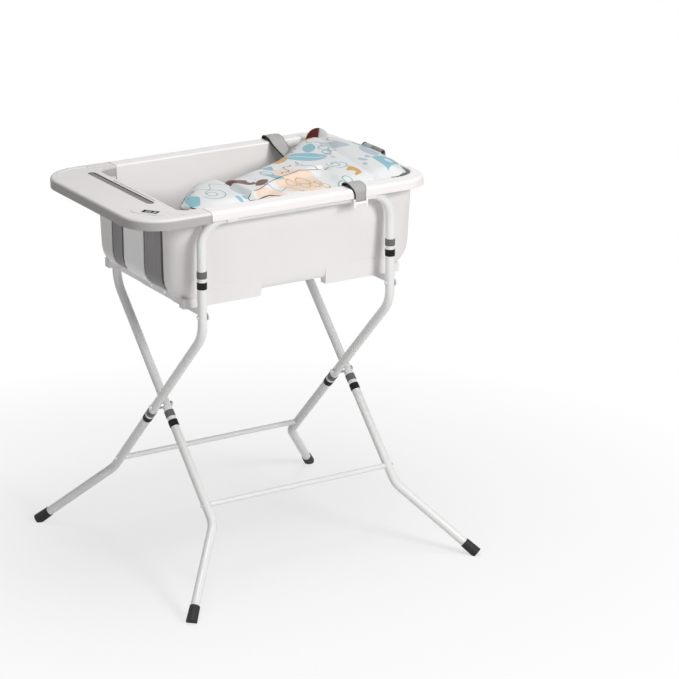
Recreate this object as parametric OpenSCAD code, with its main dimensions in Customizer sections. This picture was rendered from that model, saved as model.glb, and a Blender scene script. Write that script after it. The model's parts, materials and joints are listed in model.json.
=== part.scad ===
// Folding baby bathtub on a folding tubular stand, with a clip-on tray and a strapped bath pad.
// X runs along the bath, Y across it and Z up. The origin is on the floor under the middle.

/* [Stand] */
// Distance between the left and the right pair of legs
leg_spacing = 510; // [460:5:560]
// Distance between the centre planes of the front and the rear frame
frame_offset = 30; // [29:0.5:36]
// Outer diameter of the leg and top tubes
tube_od = 22; // [20:0.5:23]
// Wall of the leg and top tubes
tube_wall = 1.2; // [1:0.1:1.6]
// Height of the top bars' centre line
bar_z = 920; // [912:1:926]
// Bend radius of the top corners
corner_r = 60; // [45:1:75]
// Height of the knee bends
knee_z = 645; // [620:1:660]
// Bend radius of the knees
knee_r = 80; // [50:1:100]
// Distance from the middle to the lower bends
low_bend_y = 228; // [200:1:250]
// Height of the lower bends
low_bend_z = 168; // [150:1:185]
// Bend radius of the lower bends
low_bend_r = 60; // [40:1:80]
// Distance from the middle to the ends of the feet
foot_y = 379; // [350:1:400]
// How far the feet stand out past the legs
foot_out = 143; // [120:1:160]
// Height of the stretchers
stretcher_z = 203; // [195:1:230]
// Outer diameter of the stretchers
stretcher_od = 13; // [10:0.5:16]
// Diameter of the pivot bolts
pivot_bolt_d = 8; // [6:0.5:10]
// Height of the top joints between top bar and legs
top_joint_z = 778; // [740:1:800]
// Length of the grey and black collars at the joints
collar_len = 17; // [14:1:22]

/* [Cradle] */
// Height of the link pins on the legs
pin_z = 693; // [685:1:694]
// Distance from the middle to the pivots of the cradle's end bars
cradle_y = 79; // [70:1:90]
// Distance from the middle to each rail
rail_y = 33; // [24:1:38]
// Outer diameter of the rails
rail_od = 16; // [12:0.5:17]
// Height of the flat links and end bars
plate_h = 18; // [14:1:20]
// Thickness of the flat links and end bars
plate_t = 1.6; // [1.2:0.1:1.7]

/* [Bath] */
// Length of the bath over its rim
bath_l = 694; // [692:2:704]
// Width of the bath over its rim
bath_w = 528; // [526:1:534]
// Length of the basin outside, under the rim
basin_l = 666; // [656:2:668]
// Width of the rim beyond the basin, along each long side
rim_w = 43; // [42:0.5:49]
// How much narrower the basin is at its floor
draft_w = 39; // [34:1:44]
// How much shorter the basin is at its floor
draft_l = 2; // [1:1:8]
// Height of the bath from its feet to the top of its rim
bath_h = 241.7; // [236:0.1:246]
// Height of the feet under the floor
skid_h = 16; // [14:1:20]
// Wall of the basin
basin_wall = 3.5; // [2.5:0.1:4]
// Depth of the rim's outer lip
lip_h = 22; // [16:1:23]
// Width of the middle panel
panel_w = 100; // [80:1:120]
// Width of the front soft strip
front_strip_w = 98; // [70:1:104]
// Width of the rear soft strip
rear_strip_w = 63; // [50:1:80]
// Diameter of the drain hole
drain_d = 40; // [30:1:44]

/* [Tray] */
// Distance from the middle of the bath to the tray's outer end
tray_reach = 437; // [425:1:438]
// Distance from the middle of the bath to the ends of the tray's arms
tray_arm_x = 250; // [235:1:262]
// Depth of the tray's outer lip
tray_lip_h = 25; // [24:1:30]
// Distance from the tray's front edge to its slot
tray_slot_near = 145; // [140:1:165]
// Distance from the tray's rear edge to its slot
tray_slot_far = 65; // [58:1:85]
// Width of the slot in the tray
tray_slot_w = 20; // [16:0.5:21]

/* [Pad] */
// Distance from the rim's left end to the pad
pad_left = 83; // [79:1:92]
// Thickness of the bath pad
pad_t = 46; // [30:1:56]
// Width of the pad's straps
strap_w = 40; // [30:1:50]

/* [Hidden] */
$fn = 48;
fit = 0.3;
run_fit = 0.05;
overrun = 1;

// Stand values
bend_ease = 0.06;
bend_lap = 0.5;
spigot_len = 45;
spigot_root = 15;
spigot_slip = 0.05;
collar_wall = 1;
side_clear = 0.2;
collar_gap = 9;
collar_edge = 0.7;
low_joint_d = 44;
foot_d = 27;
foot_sleeve = 40;
foot_floor = 11;
foot_end_z = 5;
foot_top_d = 25;
stretcher_wall = 1;
stretcher_plug = 16;
screw_d = 5;
screw_head_d = 9.5;
screw_head_h = 2.6;
screw_bite = 12;
head_top_share = 0.7;
nut_share = 0.5;
bolt_head_d = 14;
bolt_head_h = 4;
spacer_d = 16;
link_bolt_d = 6;
link_head_d = 11;
link_head_h = 2.6;
link_washer_d = 12;
link_nut_d = 10;
rivet_d = 7;
rail_screw_d = 4;
rail_head_d = 9;
rail_head_h = 1.3;
rail_plug = 14;
rail_wall = 1;

// The top bars lie under the rim, inside its lip and hooks
rim_skin = 3;
hook_t = 3;
bar_clear = 1;
bar_y = bath_w / 2 - rim_skin - hook_t - tube_od / 2 - bar_clear;
frame_gap = frame_offset - tube_od;
leg_gap = collar_wall + side_clear;
link_gap = (frame_gap - 3 * plate_t - 2 * leg_gap) / 2;
plate_pitch = plate_t + link_gap;
pivot_z = knee_z - (knee_z - low_bend_z) * bar_y / (bar_y + low_bend_y);
leg_slope = (bar_y + low_bend_y) / (knee_z - low_bend_z);
link_len = bar_y - cradle_y;
rail_l = leg_spacing - plate_t;

// Bath values: heights are taken from the links that carry the feet
skid_z = pin_z + plate_h / 2 + fit;
rim_z = skid_z + bath_h;
floor_z = skid_z + skid_h;
basin_w = bath_w - 2 * rim_w;
lip_z = rim_z - lip_h;
rim_r = 76;
basin_r = 62;
basin_end_round = 50;
bath_x = 10;
basin_side_round = 8;
rim_fillet = 7;
inner_fillet = 4;
cover_top = 5.2;
cover_side = 2.8;
strip_inset = 2.2;
strip_t = 2.8;
panel_mid_y = -8;
panel_top_drop = 32;
skid_inner = 88;
skid_outer = 294;
skid_ledge = 6;
skid_w = 22;
skirt_t = 3.5;
skirt_end = 254;
skirt_h = 44;
notch_h = 20;
rib_pitch = 50;
hook_shares = [-0.765, 0.7];
hook_w = 26;
hook_drop = 8;
drain_x = 238;
drain_flange_w = 9;
drain_flange_t = 1.5;
drain_barrel_w = 3;
drain_drop = 8;
plug_t = 10;
plug_cap_t = 3;
plug_ring_d = 22;
plug_ring_t = 4;

// Tray values
tray_skin = 2.4;
tray_clear = 0.2;
tray_top_t = 4.8;
tray_fillet = 6;
tray_r = 92;
tray_inner_x = 304;
tray_border = 17;
tray_recess = 1.6;
tray_flap_h = 24;
tray_return_h = 9;
tray_return_t = 2.2;
tray_slot_x = 328.5;
tray_slot_l = bath_w - tray_slot_near - tray_slot_far;
tray_slot_y = (tray_slot_near - tray_slot_far) / 2;
slot_liner_t = 1.4;
slot_liner_floor = 1;
meter_x = 364.5;
meter_inset = 84;
meter_y = bath_w / 2 - meter_inset;
meter_turn = -55;
meter_l = 96;
meter_w = 40;
meter_rise = 1.2;
display_l = 40;
display_w = 20;
display_t = 1.4;

// Pad values
pad_end = 7;
pad_l = bath_l - pad_left - pad_end;
pad_right = bath_x + bath_l / 2 - pad_end;
pad_near_gap = 6.5;
pad_far_gap = 5.5;
pad_near_y = basin_w / 2 - basin_wall - pad_near_gap;
pad_far_y = basin_w / 2 - basin_wall - pad_far_gap;
pad_cols = 44;
pad_rows = 14;
pad_low_z = rim_z - 20;
pad_lift = 11;
pad_sag = 8;
pad_rise_from = 0.74;
pad_seat = 2.5 * fit;
pad_lie = 4;
pad_slope_share = 8;
pad_head_thin = 0.5;
pad_lobe_drop = 4;
pad_crease_at = 0.34;
pad_crease_width = 0.035;
pad_crease_share = 0.4;
ear_d = 72;
ear_t = 9;
ear_end = 64;
ear_x = pad_right - ear_end;
ear_inset = 46;
ear_y = pad_far_y - ear_inset;
ear_z = rim_z - 4;
ear_turn = -61;
ear_lean = 12;
ear_root = 10;
strap_t = 1.8;
strap_gap = 0.3;
tongue_w = 29;
tongue_end = 8;
front_strap_end = 205;
rear_strap_start = 152;
front_strap_x = pad_right - front_strap_end;
rear_strap_x = pad_right - rear_strap_start;
rear_strap_slope = 18;
rear_strap_end = 2;
end_strap_w = 90;
end_strap_y = 8;
clip_bar = 4;
clip_h = 20;
clip_t = 4;
clip_web_h = 6;

// Places along the frames: side is -1 left or 1 right, frame is 1 front or -1 rear
function unit(v) = v / norm(v);
function leg_x(side, frame) = side * leg_spacing / 2 - frame * frame_offset / 2;
function on_frame(side, frame, y, z, out = 0) = [leg_x(side, frame) + side * out, frame * y, z];
function top_corner(side, frame) = on_frame(side, frame, -bar_y, bar_z);
function top_joint(side, frame) = on_frame(side, frame, -bar_y, top_joint_z);
function knee(side, frame) = on_frame(side, frame, -bar_y, knee_z);
function low_bend(side, frame) = on_frame(side, frame, low_bend_y, low_bend_z);
function foot_tip(side, frame) = on_frame(side, frame, foot_y, foot_end_z, foot_out);
function pivot(side, frame) = on_frame(side, frame, 0, pivot_z);
function down_leg(side, frame) = unit(low_bend(side, frame) - knee(side, frame));
function low_joint(side, frame) = pivot(side, frame) + low_joint_d * down_leg(side, frame);
function foot_dir(side, frame) = unit(foot_tip(side, frame) - low_bend(side, frame));
function foot_end(side, frame) = foot_tip(side, frame) - foot_floor * foot_dir(side, frame);
function on_leg(side, frame, z) = on_frame(side, frame, (pivot_z - z) * leg_slope, z);
function link_pin(side, frame) = on_frame(side, frame, -bar_y, pin_z);

// Bent tubes: straight runs joined by true arcs
function turn(a, b, c) = acos(unit(b - a) * unit(c - b));
function trim(a, b, c, r) = r * tan(turn(a, b, c) / 2);
function across(z) = unit(cross(abs(z[0]) < abs(z[1]) ? [1, 0, 0] : [0, 1, 0], z));

module placed(x, y, z, p) {
    multmatrix([[x[0], y[0], z[0], p[0]], [x[1], y[1], z[1], p[1]], [x[2], y[2], z[2], p[2]], [0, 0, 0, 1]])
        children();
}

module along(p, q) {
    z = unit(q - p);
    x = across(z);
    placed(x, cross(z, x), z, p) children();
}

module rod(p, q, d) {
    along(p, q) cylinder(h = norm(q - p), d = d);
}

// The bent part is a hair fatter than the straight runs, which end inside it
module elbow(a, b, c, r, d) {
    dir = unit(b - a);
    out = unit(c - b);
    n = unit(out - (out * dir) * dir);
    s = b - trim(a, b, c, r) * dir;
    placed(-n, dir, cross(-n, dir), s + r * n)
        rotate_extrude(angle = turn(a, b, c)) translate([r, 0]) circle(d = d + 2 * bend_ease);
}

module tube_run(pts, r, d, extend = 0) {
    last = len(pts) - 1;
    for (i = [0:last - 1]) {
        dir = unit(pts[i + 1] - pts[i]);
        from = i == 0 ? -extend : trim(pts[i - 1], pts[i], pts[i + 1], r) - bend_lap;
        to = i == last - 1 ? -extend : trim(pts[i], pts[i + 1], pts[i + 2], r) - bend_lap;
        rod(pts[i] + from * dir, pts[i + 1] - to * dir, d);
    }
    for (i = [1:last - 1]) elbow(pts[i - 1], pts[i], pts[i + 1], r, d);
}

module tube(pts, r, od, wall) {
    difference() {
        tube_run(pts, r, od);
        tube_run(pts, r, od - 2 * wall, overrun);
    }
}

module spigot(p, dir) {
    bore = tube_od - 2 * tube_wall;
    difference() {
        union() {
            rod(p - spigot_root * dir, p, tube_od - tube_wall);
            rod(p - overrun * dir, p + spigot_len * dir, bore - 2 * spigot_slip);
        }
        rod(p - (spigot_root + overrun) * dir, p + (spigot_len + overrun) * dir, bore - 2 * tube_wall);
    }
}

module cross_hole(p, d) {
    reach = tube_od / 2 + overrun;
    rod(p - [reach, 0, 0], p + [reach, 0, 0], d);
}

module collar(p, dir) {
    inner = tube_od + 2 * run_fit;
    outer = tube_od + 2 * collar_wall;
    along(p, p + dir) rotate_extrude() polygon([
        [inner / 2, 0], [outer / 2 - collar_edge, 0], [outer / 2, collar_edge],
        [outer / 2, collar_len - collar_edge], [outer / 2 - collar_edge, collar_len], [inner / 2, collar_len]
    ]);
}

// Frames
module top_bar(frame) {
    down = [0, 0, -1];
    color("white") {
        tube([top_joint(-1, frame), top_corner(-1, frame), top_corner(1, frame), top_joint(1, frame)],
            corner_r, tube_od, tube_wall);
        for (side = [-1, 1]) spigot(top_joint(side, frame), down);
    }
}

module leg(side, frame) {
    dir = down_leg(side, frame);
    color("white") {
        difference() {
            tube([top_joint(side, frame), knee(side, frame), low_joint(side, frame)],
                knee_r, tube_od, tube_wall);
            cross_hole(pivot(side, frame), pivot_bolt_d + 2 * run_fit);
            cross_hole(link_pin(side, frame), link_bolt_d + 2 * run_fit);
        }
        spigot(low_joint(side, frame), dir);
    }
}

module lower_leg(side, frame) {
    color("white") difference() {
        tube([low_joint(side, frame) + run_fit * down_leg(side, frame), low_bend(side, frame),
            foot_end(side, frame)],
            low_bend_r, tube_od, tube_wall);
        cross_hole(on_leg(side, frame, stretcher_z), screw_d + 2 * run_fit);
    }
}

module grey_collars(frame) {
    color("gray") for (side = [-1, 1]) {
        dir = down_leg(side, frame);
        collar(top_joint(side, frame) + [0, 0, collar_gap], [0, 0, 1]);
        collar(low_joint(side, frame) - collar_gap * dir, -dir);
    }
}

module black_collars(frame) {
    color("black") for (side = [-1, 1]) {
        collar(top_joint(side, frame), [0, 0, -1]);
        collar(low_joint(side, frame), down_leg(side, frame));
    }
}

module foot(side, frame) {
    dir = foot_dir(side, frame);
    tip = foot_tip(side, frame);
    end = foot_end(side, frame);
    sleeve = foot_sleeve * dir;
    color("black") difference() {
        union() {
            along(tip - sleeve, tip) cylinder(h = foot_sleeve, d1 = foot_top_d, d2 = foot_d);
            rod(tip - overrun * dir, tip + overrun * dir, foot_d);
        }
        rod(tip - sleeve - overrun * dir, end + fit * dir, tube_od + 2 * run_fit);
        translate([tip[0] - foot_d, tip[1] - foot_d, -foot_d]) cube([2 * foot_d, 2 * foot_d, foot_d]);
    }
}

module stretcher(frame) {
    left = on_leg(-1, frame, stretcher_z);
    right = on_leg(1, frame, stretcher_z);
    inner = tube_od / 2;
    plug = [inner + stretcher_plug, 0, 0];
    color("white") difference() {
        rod(left + [overrun, 0, 0], right - [overrun, 0, 0], stretcher_od);
        rod(left + plug, right - plug, stretcher_od - 2 * stretcher_wall);
        for (side = [-1, 1]) {
            rod(low_joint(side, frame), low_bend(side, frame), tube_od + 2 * fit);
            p = on_leg(side, frame, stretcher_z);
            rod(p, p - side * (plug + [overrun, 0, 0]), screw_d + 2 * run_fit);
        }
    }
}

module stretcher_screws(frame) {
    color("silver") for (side = [-1, 1]) {
        p = on_leg(side, frame, stretcher_z);
        face = p + [side * (tube_od / 2 + run_fit), 0, 0];
        rod(face, p - [side * (tube_od / 2 + screw_bite), 0, 0], screw_d);
        along(face, face + [side, 0, 0])
            cylinder(h = screw_head_h, d1 = screw_head_d, d2 = screw_head_d * head_top_share);
    }
}
module link_bolts(frame) {
    color("silver") for (side = [-1, 1]) {
        p = link_pin(side, frame);
        inward = -side * frame_side(side, frame) * [1, 0, 0];
        leg_face = p + inward * (tube_od / 2 + run_fit);
        link_face = p + inward * (tube_od / 2 + leg_gap - run_fit);
        in_face = p + inward * (tube_od / 2 + leg_gap + plate_t + run_fit);
        out_face = p - inward * (tube_od / 2 + run_fit);
        nut_h = frame_gap - leg_gap - plate_t - fit;
        rod(out_face, in_face, link_bolt_d);
        along(out_face, out_face - inward)
            cylinder(h = link_head_h, d1 = link_head_d, d2 = link_head_d * head_top_share);
        rod(leg_face, link_face, link_washer_d);
        rod(in_face, in_face + inward * nut_h * nut_share, link_nut_d);
    }
}
// 1 where the frame's leg is the outer one of its pair, -1 where it is the inner one
function frame_side(side, frame) = side * frame < 0 ? 1 : -1;

// Pivots between the frames
module pivot_bolt(side) {
    reach = frame_offset / 2 + tube_od / 2 + fit;
    mid = [side * leg_spacing / 2, 0, pivot_z];
    outer = mid + [side * reach, 0, 0];
    inner = mid - [side * reach, 0, 0];
    color("silver") {
        rod(inner, outer, pivot_bolt_d);
        along(outer, outer + [side, 0, 0])
            cylinder(h = bolt_head_h, d1 = bolt_head_d, d2 = bolt_head_d * head_top_share);
        along(inner, inner - [side, 0, 0]) cylinder(h = bolt_head_h, d = bolt_head_d, $fn = 6);
    }
}

module pivot_spacers() {
    half = frame_gap / 2 - fit;
    color("silver") for (side = [-1, 1]) {
        mid = [side * leg_spacing / 2, 0, pivot_z];
        difference() {
            rod(mid - [half, 0, 0], mid + [half, 0, 0], spacer_d);
            rod(mid - [half + overrun, 0, 0], mid + [half + overrun, 0, 0], pivot_bolt_d + 2 * run_fit);
        }
    }
}

// Cradle under the bath
module plate(x, y1, y2, z, holes) {
    translate([x - plate_t / 2, 0, z]) rotate([90, 0, 90]) linear_extrude(plate_t) difference() {
        union() {
            translate([min(y1, y2), -plate_h / 2]) square([abs(y2 - y1), plate_h]);
            for (y = [y1, y2]) translate([y, 0]) circle(d = plate_h);
        }
        for (h = holes) translate([h[0], 0]) circle(d = h[1]);
    }
}

module link(side, frame) {
    color("white") plate(side * leg_spacing / 2 - frame * plate_pitch, -frame * bar_y, -frame * cradle_y,
        pin_z, [[-frame * bar_y, link_bolt_d + 2 * run_fit], [-frame * cradle_y, rivet_d + 2 * run_fit]]);
}

module link_rivets(frame) {
    color("silver") for (side = [-1, 1]) {
        x = side * leg_spacing / 2 - frame * plate_pitch;
        rod([x - plate_t / 2, -frame * cradle_y, pin_z], [x + plate_t / 2, -frame * cradle_y, pin_z], rivet_d);
    }
}

module end_bar(side) {
    color("white") plate(side * leg_spacing / 2, -cradle_y, cradle_y, pin_z,
        [for (y = [-rail_y, rail_y]) [y, rail_screw_d + 2 * run_fit]]);
}

module rail(frame) {
    half = rail_l / 2;
    y = -frame * rail_y;
    color("white") difference() {
        rod([-half, y, pin_z], [half, y, pin_z], rail_od);
        rod([rail_plug - half, y, pin_z], [half - rail_plug, y, pin_z], rail_od - 2 * rail_wall);
        for (side = [-1, 1])
            rod([side * (half + overrun), y, pin_z], [side * (half - rail_plug - overrun), y, pin_z],
                rail_screw_d + 2 * run_fit);
    }
}

module rail_screws() {
    face = leg_spacing / 2 + plate_t / 2;
    color("silver") for (side = [-1, 1], y = [-rail_y, rail_y]) {
        rod([side * face, y, pin_z], [side * (face - rail_plug), y, pin_z], rail_screw_d);
        along([side * face, y, pin_z], [side * (face + rail_head_h), y, pin_z])
            cylinder(h = rail_head_h, d1 = rail_head_d, d2 = rail_head_d * head_top_share);
    }
}

// Basin: rounded rectangles [half length, half width, corner radius, height] joined into one shell,
// all about the middle of the bath, which sits a little to the right on its stand
corner_steps = 10;
function ring(a, b, r, z) = [
    for (k = [0:3], i = [0:corner_steps])
        let (t = 90 * (k + i / corner_steps), sx = k == 0 || k == 3 ? 1 : -1, sy = k < 2 ? 1 : -1)
        [bath_x + sx * (a - r) + r * cos(t), sy * (b - r) + r * sin(t), z]
];

module loft(rings) {
    n = len(rings[0]);
    m = len(rings);
    points = [for (g = rings) each g];
    sides = [
        for (i = [0:m - 2], j = [0:n - 1])
            let (a = i * n + j, b = i * n + (j + 1) % n)
            each [[a, a + n, b + n], [a, b + n, b]]
    ];
    polyhedron(points,
        concat([[for (j = [0:n - 1]) j]], sides, [[for (j = [n - 1:-1:0]) (m - 1) * n + j]]));
}

function wall_share(z) = (z - floor_z) / (rim_z - rim_skin - floor_z);
function wall_a(z, inset) = (basin_l - draft_l * (1 - wall_share(z))) / 2 - inset;
function wall_b(z, inset) = (basin_w - draft_w * (1 - wall_share(z))) / 2 - inset;
round_steps = 5;
function low_rings(inset) = [
    for (i = [0:round_steps])
        let (t = 90 * i / round_steps, s = 1 - sin(t), z = floor_z + inset + basin_end_round * (1 - cos(t)))
        ring(wall_a(z, inset) - basin_end_round * s, wall_b(z, inset) - basin_side_round * s,
            basin_r - inset - basin_end_round * s * 0.6, z)
];
function reversed(list) = [for (i = [len(list) - 1:-1:0]) list[i]];
function fillet_rings(a, b, r, z, size, flip) = [
    for (i = [0:3])
        let (t = 90 * (flip ? 3 - i : i) / 3, s = size * (1 - cos(t)), h = size * (1 - sin(t)))
        ring(flip ? a + s : a - s, flip ? b + s : b - s, flip ? r + s : r - s, z - h)
];

// The whole basin and rim; cover lowers the rim where the tray sits flush over it
module bath_shell(cover_z = 0, cover_xy = 0) {
    top = rim_z - cover_z;
    under = top - rim_skin;
    a = bath_l / 2 - cover_xy;
    b = bath_w / 2 - cover_xy;
    ia = wall_a(rim_z, basin_wall);
    ib = wall_b(rim_z, basin_wall);
    ir = basin_r - basin_wall;
    loft(concat(
        low_rings(0),
        [ring(wall_a(under, 0), wall_b(under, 0), basin_r, under),
            ring(a - rim_skin, b - rim_skin, rim_r - rim_skin, under),
            ring(a - rim_skin, b - rim_skin, rim_r - rim_skin, lip_z),
            ring(a, b, rim_r, lip_z)],
        fillet_rings(a - overrun, b - overrun, rim_r, top, rim_fillet, false),
        fillet_rings(ia, ib, ir, top, inner_fillet, true),
        reversed(low_rings(basin_wall))
    ));
}

// The basin's outer form as a plain solid, drawn in by an inset
module basin_core(inset, top, over = 0) {
    loft(concat(low_rings(inset),
        [ring(wall_a(top, inset), wall_b(top, inset), basin_r - inset, top + over)]));
}

// A plain shell that follows the basin's wall at an inset, for the soft strips
module strip_shell() {
    top = rim_z - panel_top_drop;
    difference() {
        basin_core(strip_inset, top);
        basin_core(strip_inset + strip_t, top, overrun);
    }
}

module slab(y1, y2, x1 = -bath_l, x2 = bath_l, z1 = 0, z2 = 2 * rim_z) {
    translate([x1, y1, z1]) cube([x2 - x1, y2 - y1, z2 - z1]);
}

panel_y1 = panel_mid_y - panel_w / 2;
panel_y2 = panel_mid_y + panel_w / 2;
split_front = panel_y1 - front_strip_w;
split_rear = panel_y2 + rear_strip_w;

module shell_part(y1, y2, z1 = 0) {
    intersection() {
        bath_shell();
        slab(y1, y2, x1 = -tray_arm_x, z1 = z1);
    }
    intersection() {
        bath_shell(cover_top, cover_side);
        slab(y1, y2, x2 = -tray_arm_x, z1 = z1);
    }
}

// Feet moulded under each half: a skirt flush with the wall, a flange, ribs and a solid end
module skid(frame) {
    z_top = skid_z + skirt_h;
    y_low = wall_b(skid_z, 0);
    y_top = wall_b(z_top, 0);
    y0 = frame > 0 ? -y_low : y_low - skid_w;
    difference() {
        for (side = [-1, 1]) {
            x0 = side > 0 ? skid_inner : -skirt_end;
            translate([x0, 0, 0]) rotate([90, 0, 90]) linear_extrude(skirt_end - skid_inner) polygon([
                [-frame * y_low, skid_z], [-frame * y_top, z_top], [-frame * (y_top - skirt_t), z_top],
                [-frame * (y_low - skirt_t), skid_z]
            ]);
            translate([x0, y0, skid_z]) cube([skirt_end - skid_inner, skid_w, skirt_t]);
            for (x = [skid_inner:rib_pitch:skirt_end])
                translate([side > 0 ? x : -x - skirt_t, y0, skid_z]) cube([skirt_t, skid_w, skid_h + skid_ledge]);
            translate([side > 0 ? skirt_end - overrun : -skid_outer, y0, skid_z])
                cube([skid_outer - skirt_end + overrun, skid_w, skid_h + skid_ledge]);
        }
        basin_core(basin_wall / 2, rim_z - lip_h);
    }
}

module basin_half(frame) {
    color("whitesmoke") {
        if (frame > 0) shell_part(-bath_w, split_front);
        else shell_part(split_rear, bath_w);
        skid(frame);
    }
}

module middle_panel() {
    color("gainsboro") difference() {
        union() {
            shell_part(panel_y1, panel_y2);
            shell_part(split_front, panel_y1, z1 = rim_z - panel_top_drop);
            shell_part(panel_y2, split_rear, z1 = rim_z - panel_top_drop);
        }
        translate([-drain_x, panel_mid_y, skid_z]) cylinder(h = 2 * skid_h, d = drain_d + 2 * drain_barrel_w + fit);
    }
}

module soft_strip(y1, y2) {
    color("dimgray") intersection() {
        strip_shell();
        slab(y1, y2);
    }
}

// Snap hooks under the rim that sit over the top bars
module rim_hooks() {
    outer = bath_w / 2;
    bar_top = bar_z + tube_od / 2;
    under = rim_z - rim_skin;
    color("white") for (frame = [-1, 1], s = hook_shares) {
        x = s * leg_spacing / 2 - hook_w / 2;
        y1 = bar_y - tube_od / 2;
        translate([x, frame > 0 ? y1 : -(outer - rim_skin), bar_top + fit])
            cube([hook_w, outer - rim_skin - y1, under - bar_top - fit]);
        translate([x, frame > 0 ? outer - rim_skin - hook_t + fit : -(outer - rim_skin + fit), lip_z - hook_drop])
            cube([hook_w, hook_t, hook_drop]);
        translate([x, frame > 0 ? outer - rim_skin - hook_t / 2 : -(outer - rim_skin), lip_z - overrun])
            cube([hook_w, hook_t / 2, under - lip_z + overrun]);
    }
}

module drain_seat() {
    top = floor_z + basin_wall;
    color("silver") translate([-drain_x, panel_mid_y, 0]) difference() {
        union() {
            translate([0, 0, top]) cylinder(h = drain_flange_t, d = drain_d + 2 * drain_flange_w);
            translate([0, 0, floor_z - drain_drop]) cylinder(h = drain_drop + basin_wall + overrun, d = drain_d + 2 * drain_barrel_w);
            translate([0, 0, floor_z - drain_drop]) cylinder(h = drain_drop - fit, d = drain_d + 2 * drain_flange_w);
        }
        translate([0, 0, floor_z - drain_drop - overrun]) cylinder(h = drain_drop + 2 * basin_wall + drain_drop, d = drain_d);
    }
}

module drain_plug() {
    seat = floor_z + basin_wall + drain_flange_t + fit;
    color("lightgray") translate([-drain_x, panel_mid_y, seat]) {
        translate([0, 0, -plug_t]) cylinder(h = plug_t + overrun, d = drain_d - 2 * run_fit);
        cylinder(h = plug_cap_t, d = drain_d + drain_flange_w);
        translate([0, 0, plug_cap_t + plug_ring_d / 2 - plug_ring_t / 2]) rotate([90, 0, 0]) rotate_extrude()
            translate([plug_ring_d / 2 - plug_ring_t / 2, 0]) circle(d = plug_ring_t);
    }
}

// Tray over the left end of the rim
module tray_solid(inset, top, bottom, round) {
    a = tray_reach + bath_x - inset;
    b = bath_w / 2 - inset;
    r = tray_r - inset;
    loft(concat([ring(a, b, r, bottom)], fillet_rings(a, b, r, top, round, false)));
}

// A plain block that fits inside the basin at an inset from its wall
module bowl_block(inset, z1, z2) {
    loft([for (z = [z1, z2]) ring(wall_a(z, basin_wall + inset), wall_b(z, basin_wall + inset),
        inner_r - inset, z)]);
}

module tray() {
    bottom = rim_z - tray_lip_h;
    flap_z = rim_z - tray_flap_h;
    color("lightgray") {
        difference() {
            intersection() {
                tray_solid(0, rim_z, bottom, tray_fillet);
                slab(-bath_w, bath_w, x2 = -tray_arm_x - fit);
            }
            tray_solid(tray_skin, rim_z - tray_top_t, bottom - overrun, tray_fillet);
            intersection() {
                bowl_block(fit + tray_skin, bottom, rim_z + overrun);
                slab(-bath_w, bath_w, x1 = -tray_inner_x);
            }
            tray_pocket();
            tray_slot(0, tray_top_t + overrun);
            meter_shape(meter_l + fit, meter_w + fit, rim_z - tray_top_t - overrun, rim_z + overrun);
        }
        difference() {
            intersection() {
                bowl_block(fit, flap_z, rim_z - tray_top_t / 2);
                slab(-bath_w, bath_w, x1 = -tray_inner_x - tray_return_t, x2 = -tray_arm_x - fit);
            }
            difference() {
                bowl_block(fit + tray_skin, flap_z - overrun, rim_z);
                slab(-bath_w, bath_w, x2 = -tray_inner_x, z1 = rim_z - tray_return_h);
            }
        }
    }
}

// Shallow field inside the tray's raised border
module tray_pocket() {
    x1 = tray_reach - tray_border;
    x2 = tray_inner_x + tray_border / 2;
    y = bath_w / 2 - tray_border;
    r = tray_r - tray_border;
    translate([0, 0, rim_z - tray_recess]) linear_extrude(tray_recess + overrun) {
        translate([-x1 + r, -y]) square([x1 - r - x2, 2 * y]);
        translate([-x1, -y + r]) square([x1 - x2, 2 * (y - r)]);
        for (s = [-1, 1]) translate([-x1 + r, s * (y - r)]) circle(r = r);
    }
}

module tray_slot(inset, depth) {
    w = tray_slot_w - 2 * inset;
    l = tray_slot_l - tray_slot_w;
    translate([-tray_slot_x, tray_slot_y, rim_z - depth]) linear_extrude(depth + overrun) {
        square([w, l], center = true);
        for (s = [-1, 1]) translate([0, s * l / 2]) circle(d = w);
    }
}

module tray_slot_liner() {
    top = rim_z - tray_recess - fit;
    bottom = rim_z - tray_top_t + fit;
    color("dimgray") difference() {
        intersection() {
            tray_slot(fit, tray_top_t - fit);
            slab(-bath_w, bath_w, z2 = top);
        }
        tray_slot(fit + slot_liner_t, rim_z - bottom - slot_liner_floor);
    }
}

module meter_shape(l, w, z1, z2) {
    translate([-meter_x, -meter_y, z1]) rotate([0, 0, meter_turn]) linear_extrude(z2 - z1) {
        square([l - w, w], center = true);
        for (s = [-1, 1]) translate([s * (l - w) / 2, 0]) circle(d = w);
    }
}

module display_box(grow, z1, z2) {
    translate([-meter_x, -meter_y, z1]) rotate([0, 0, meter_turn])
        translate([-display_l / 2 - grow, -display_w / 2 - grow, 0])
            cube([display_l + 2 * grow, display_w + 2 * grow, z2 - z1]);
}

module thermometer_case() {
    top = rim_z - tray_recess + meter_rise;
    color("gainsboro") difference() {
        meter_shape(meter_l - fit, meter_w - fit, rim_z - tray_top_t + fit, top);
        display_box(run_fit, top - display_t, top + overrun);
    }
}

module thermometer_display() {
    top = rim_z - tray_recess + meter_rise;
    color("black") display_box(0, top - display_t, top);
}

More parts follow.
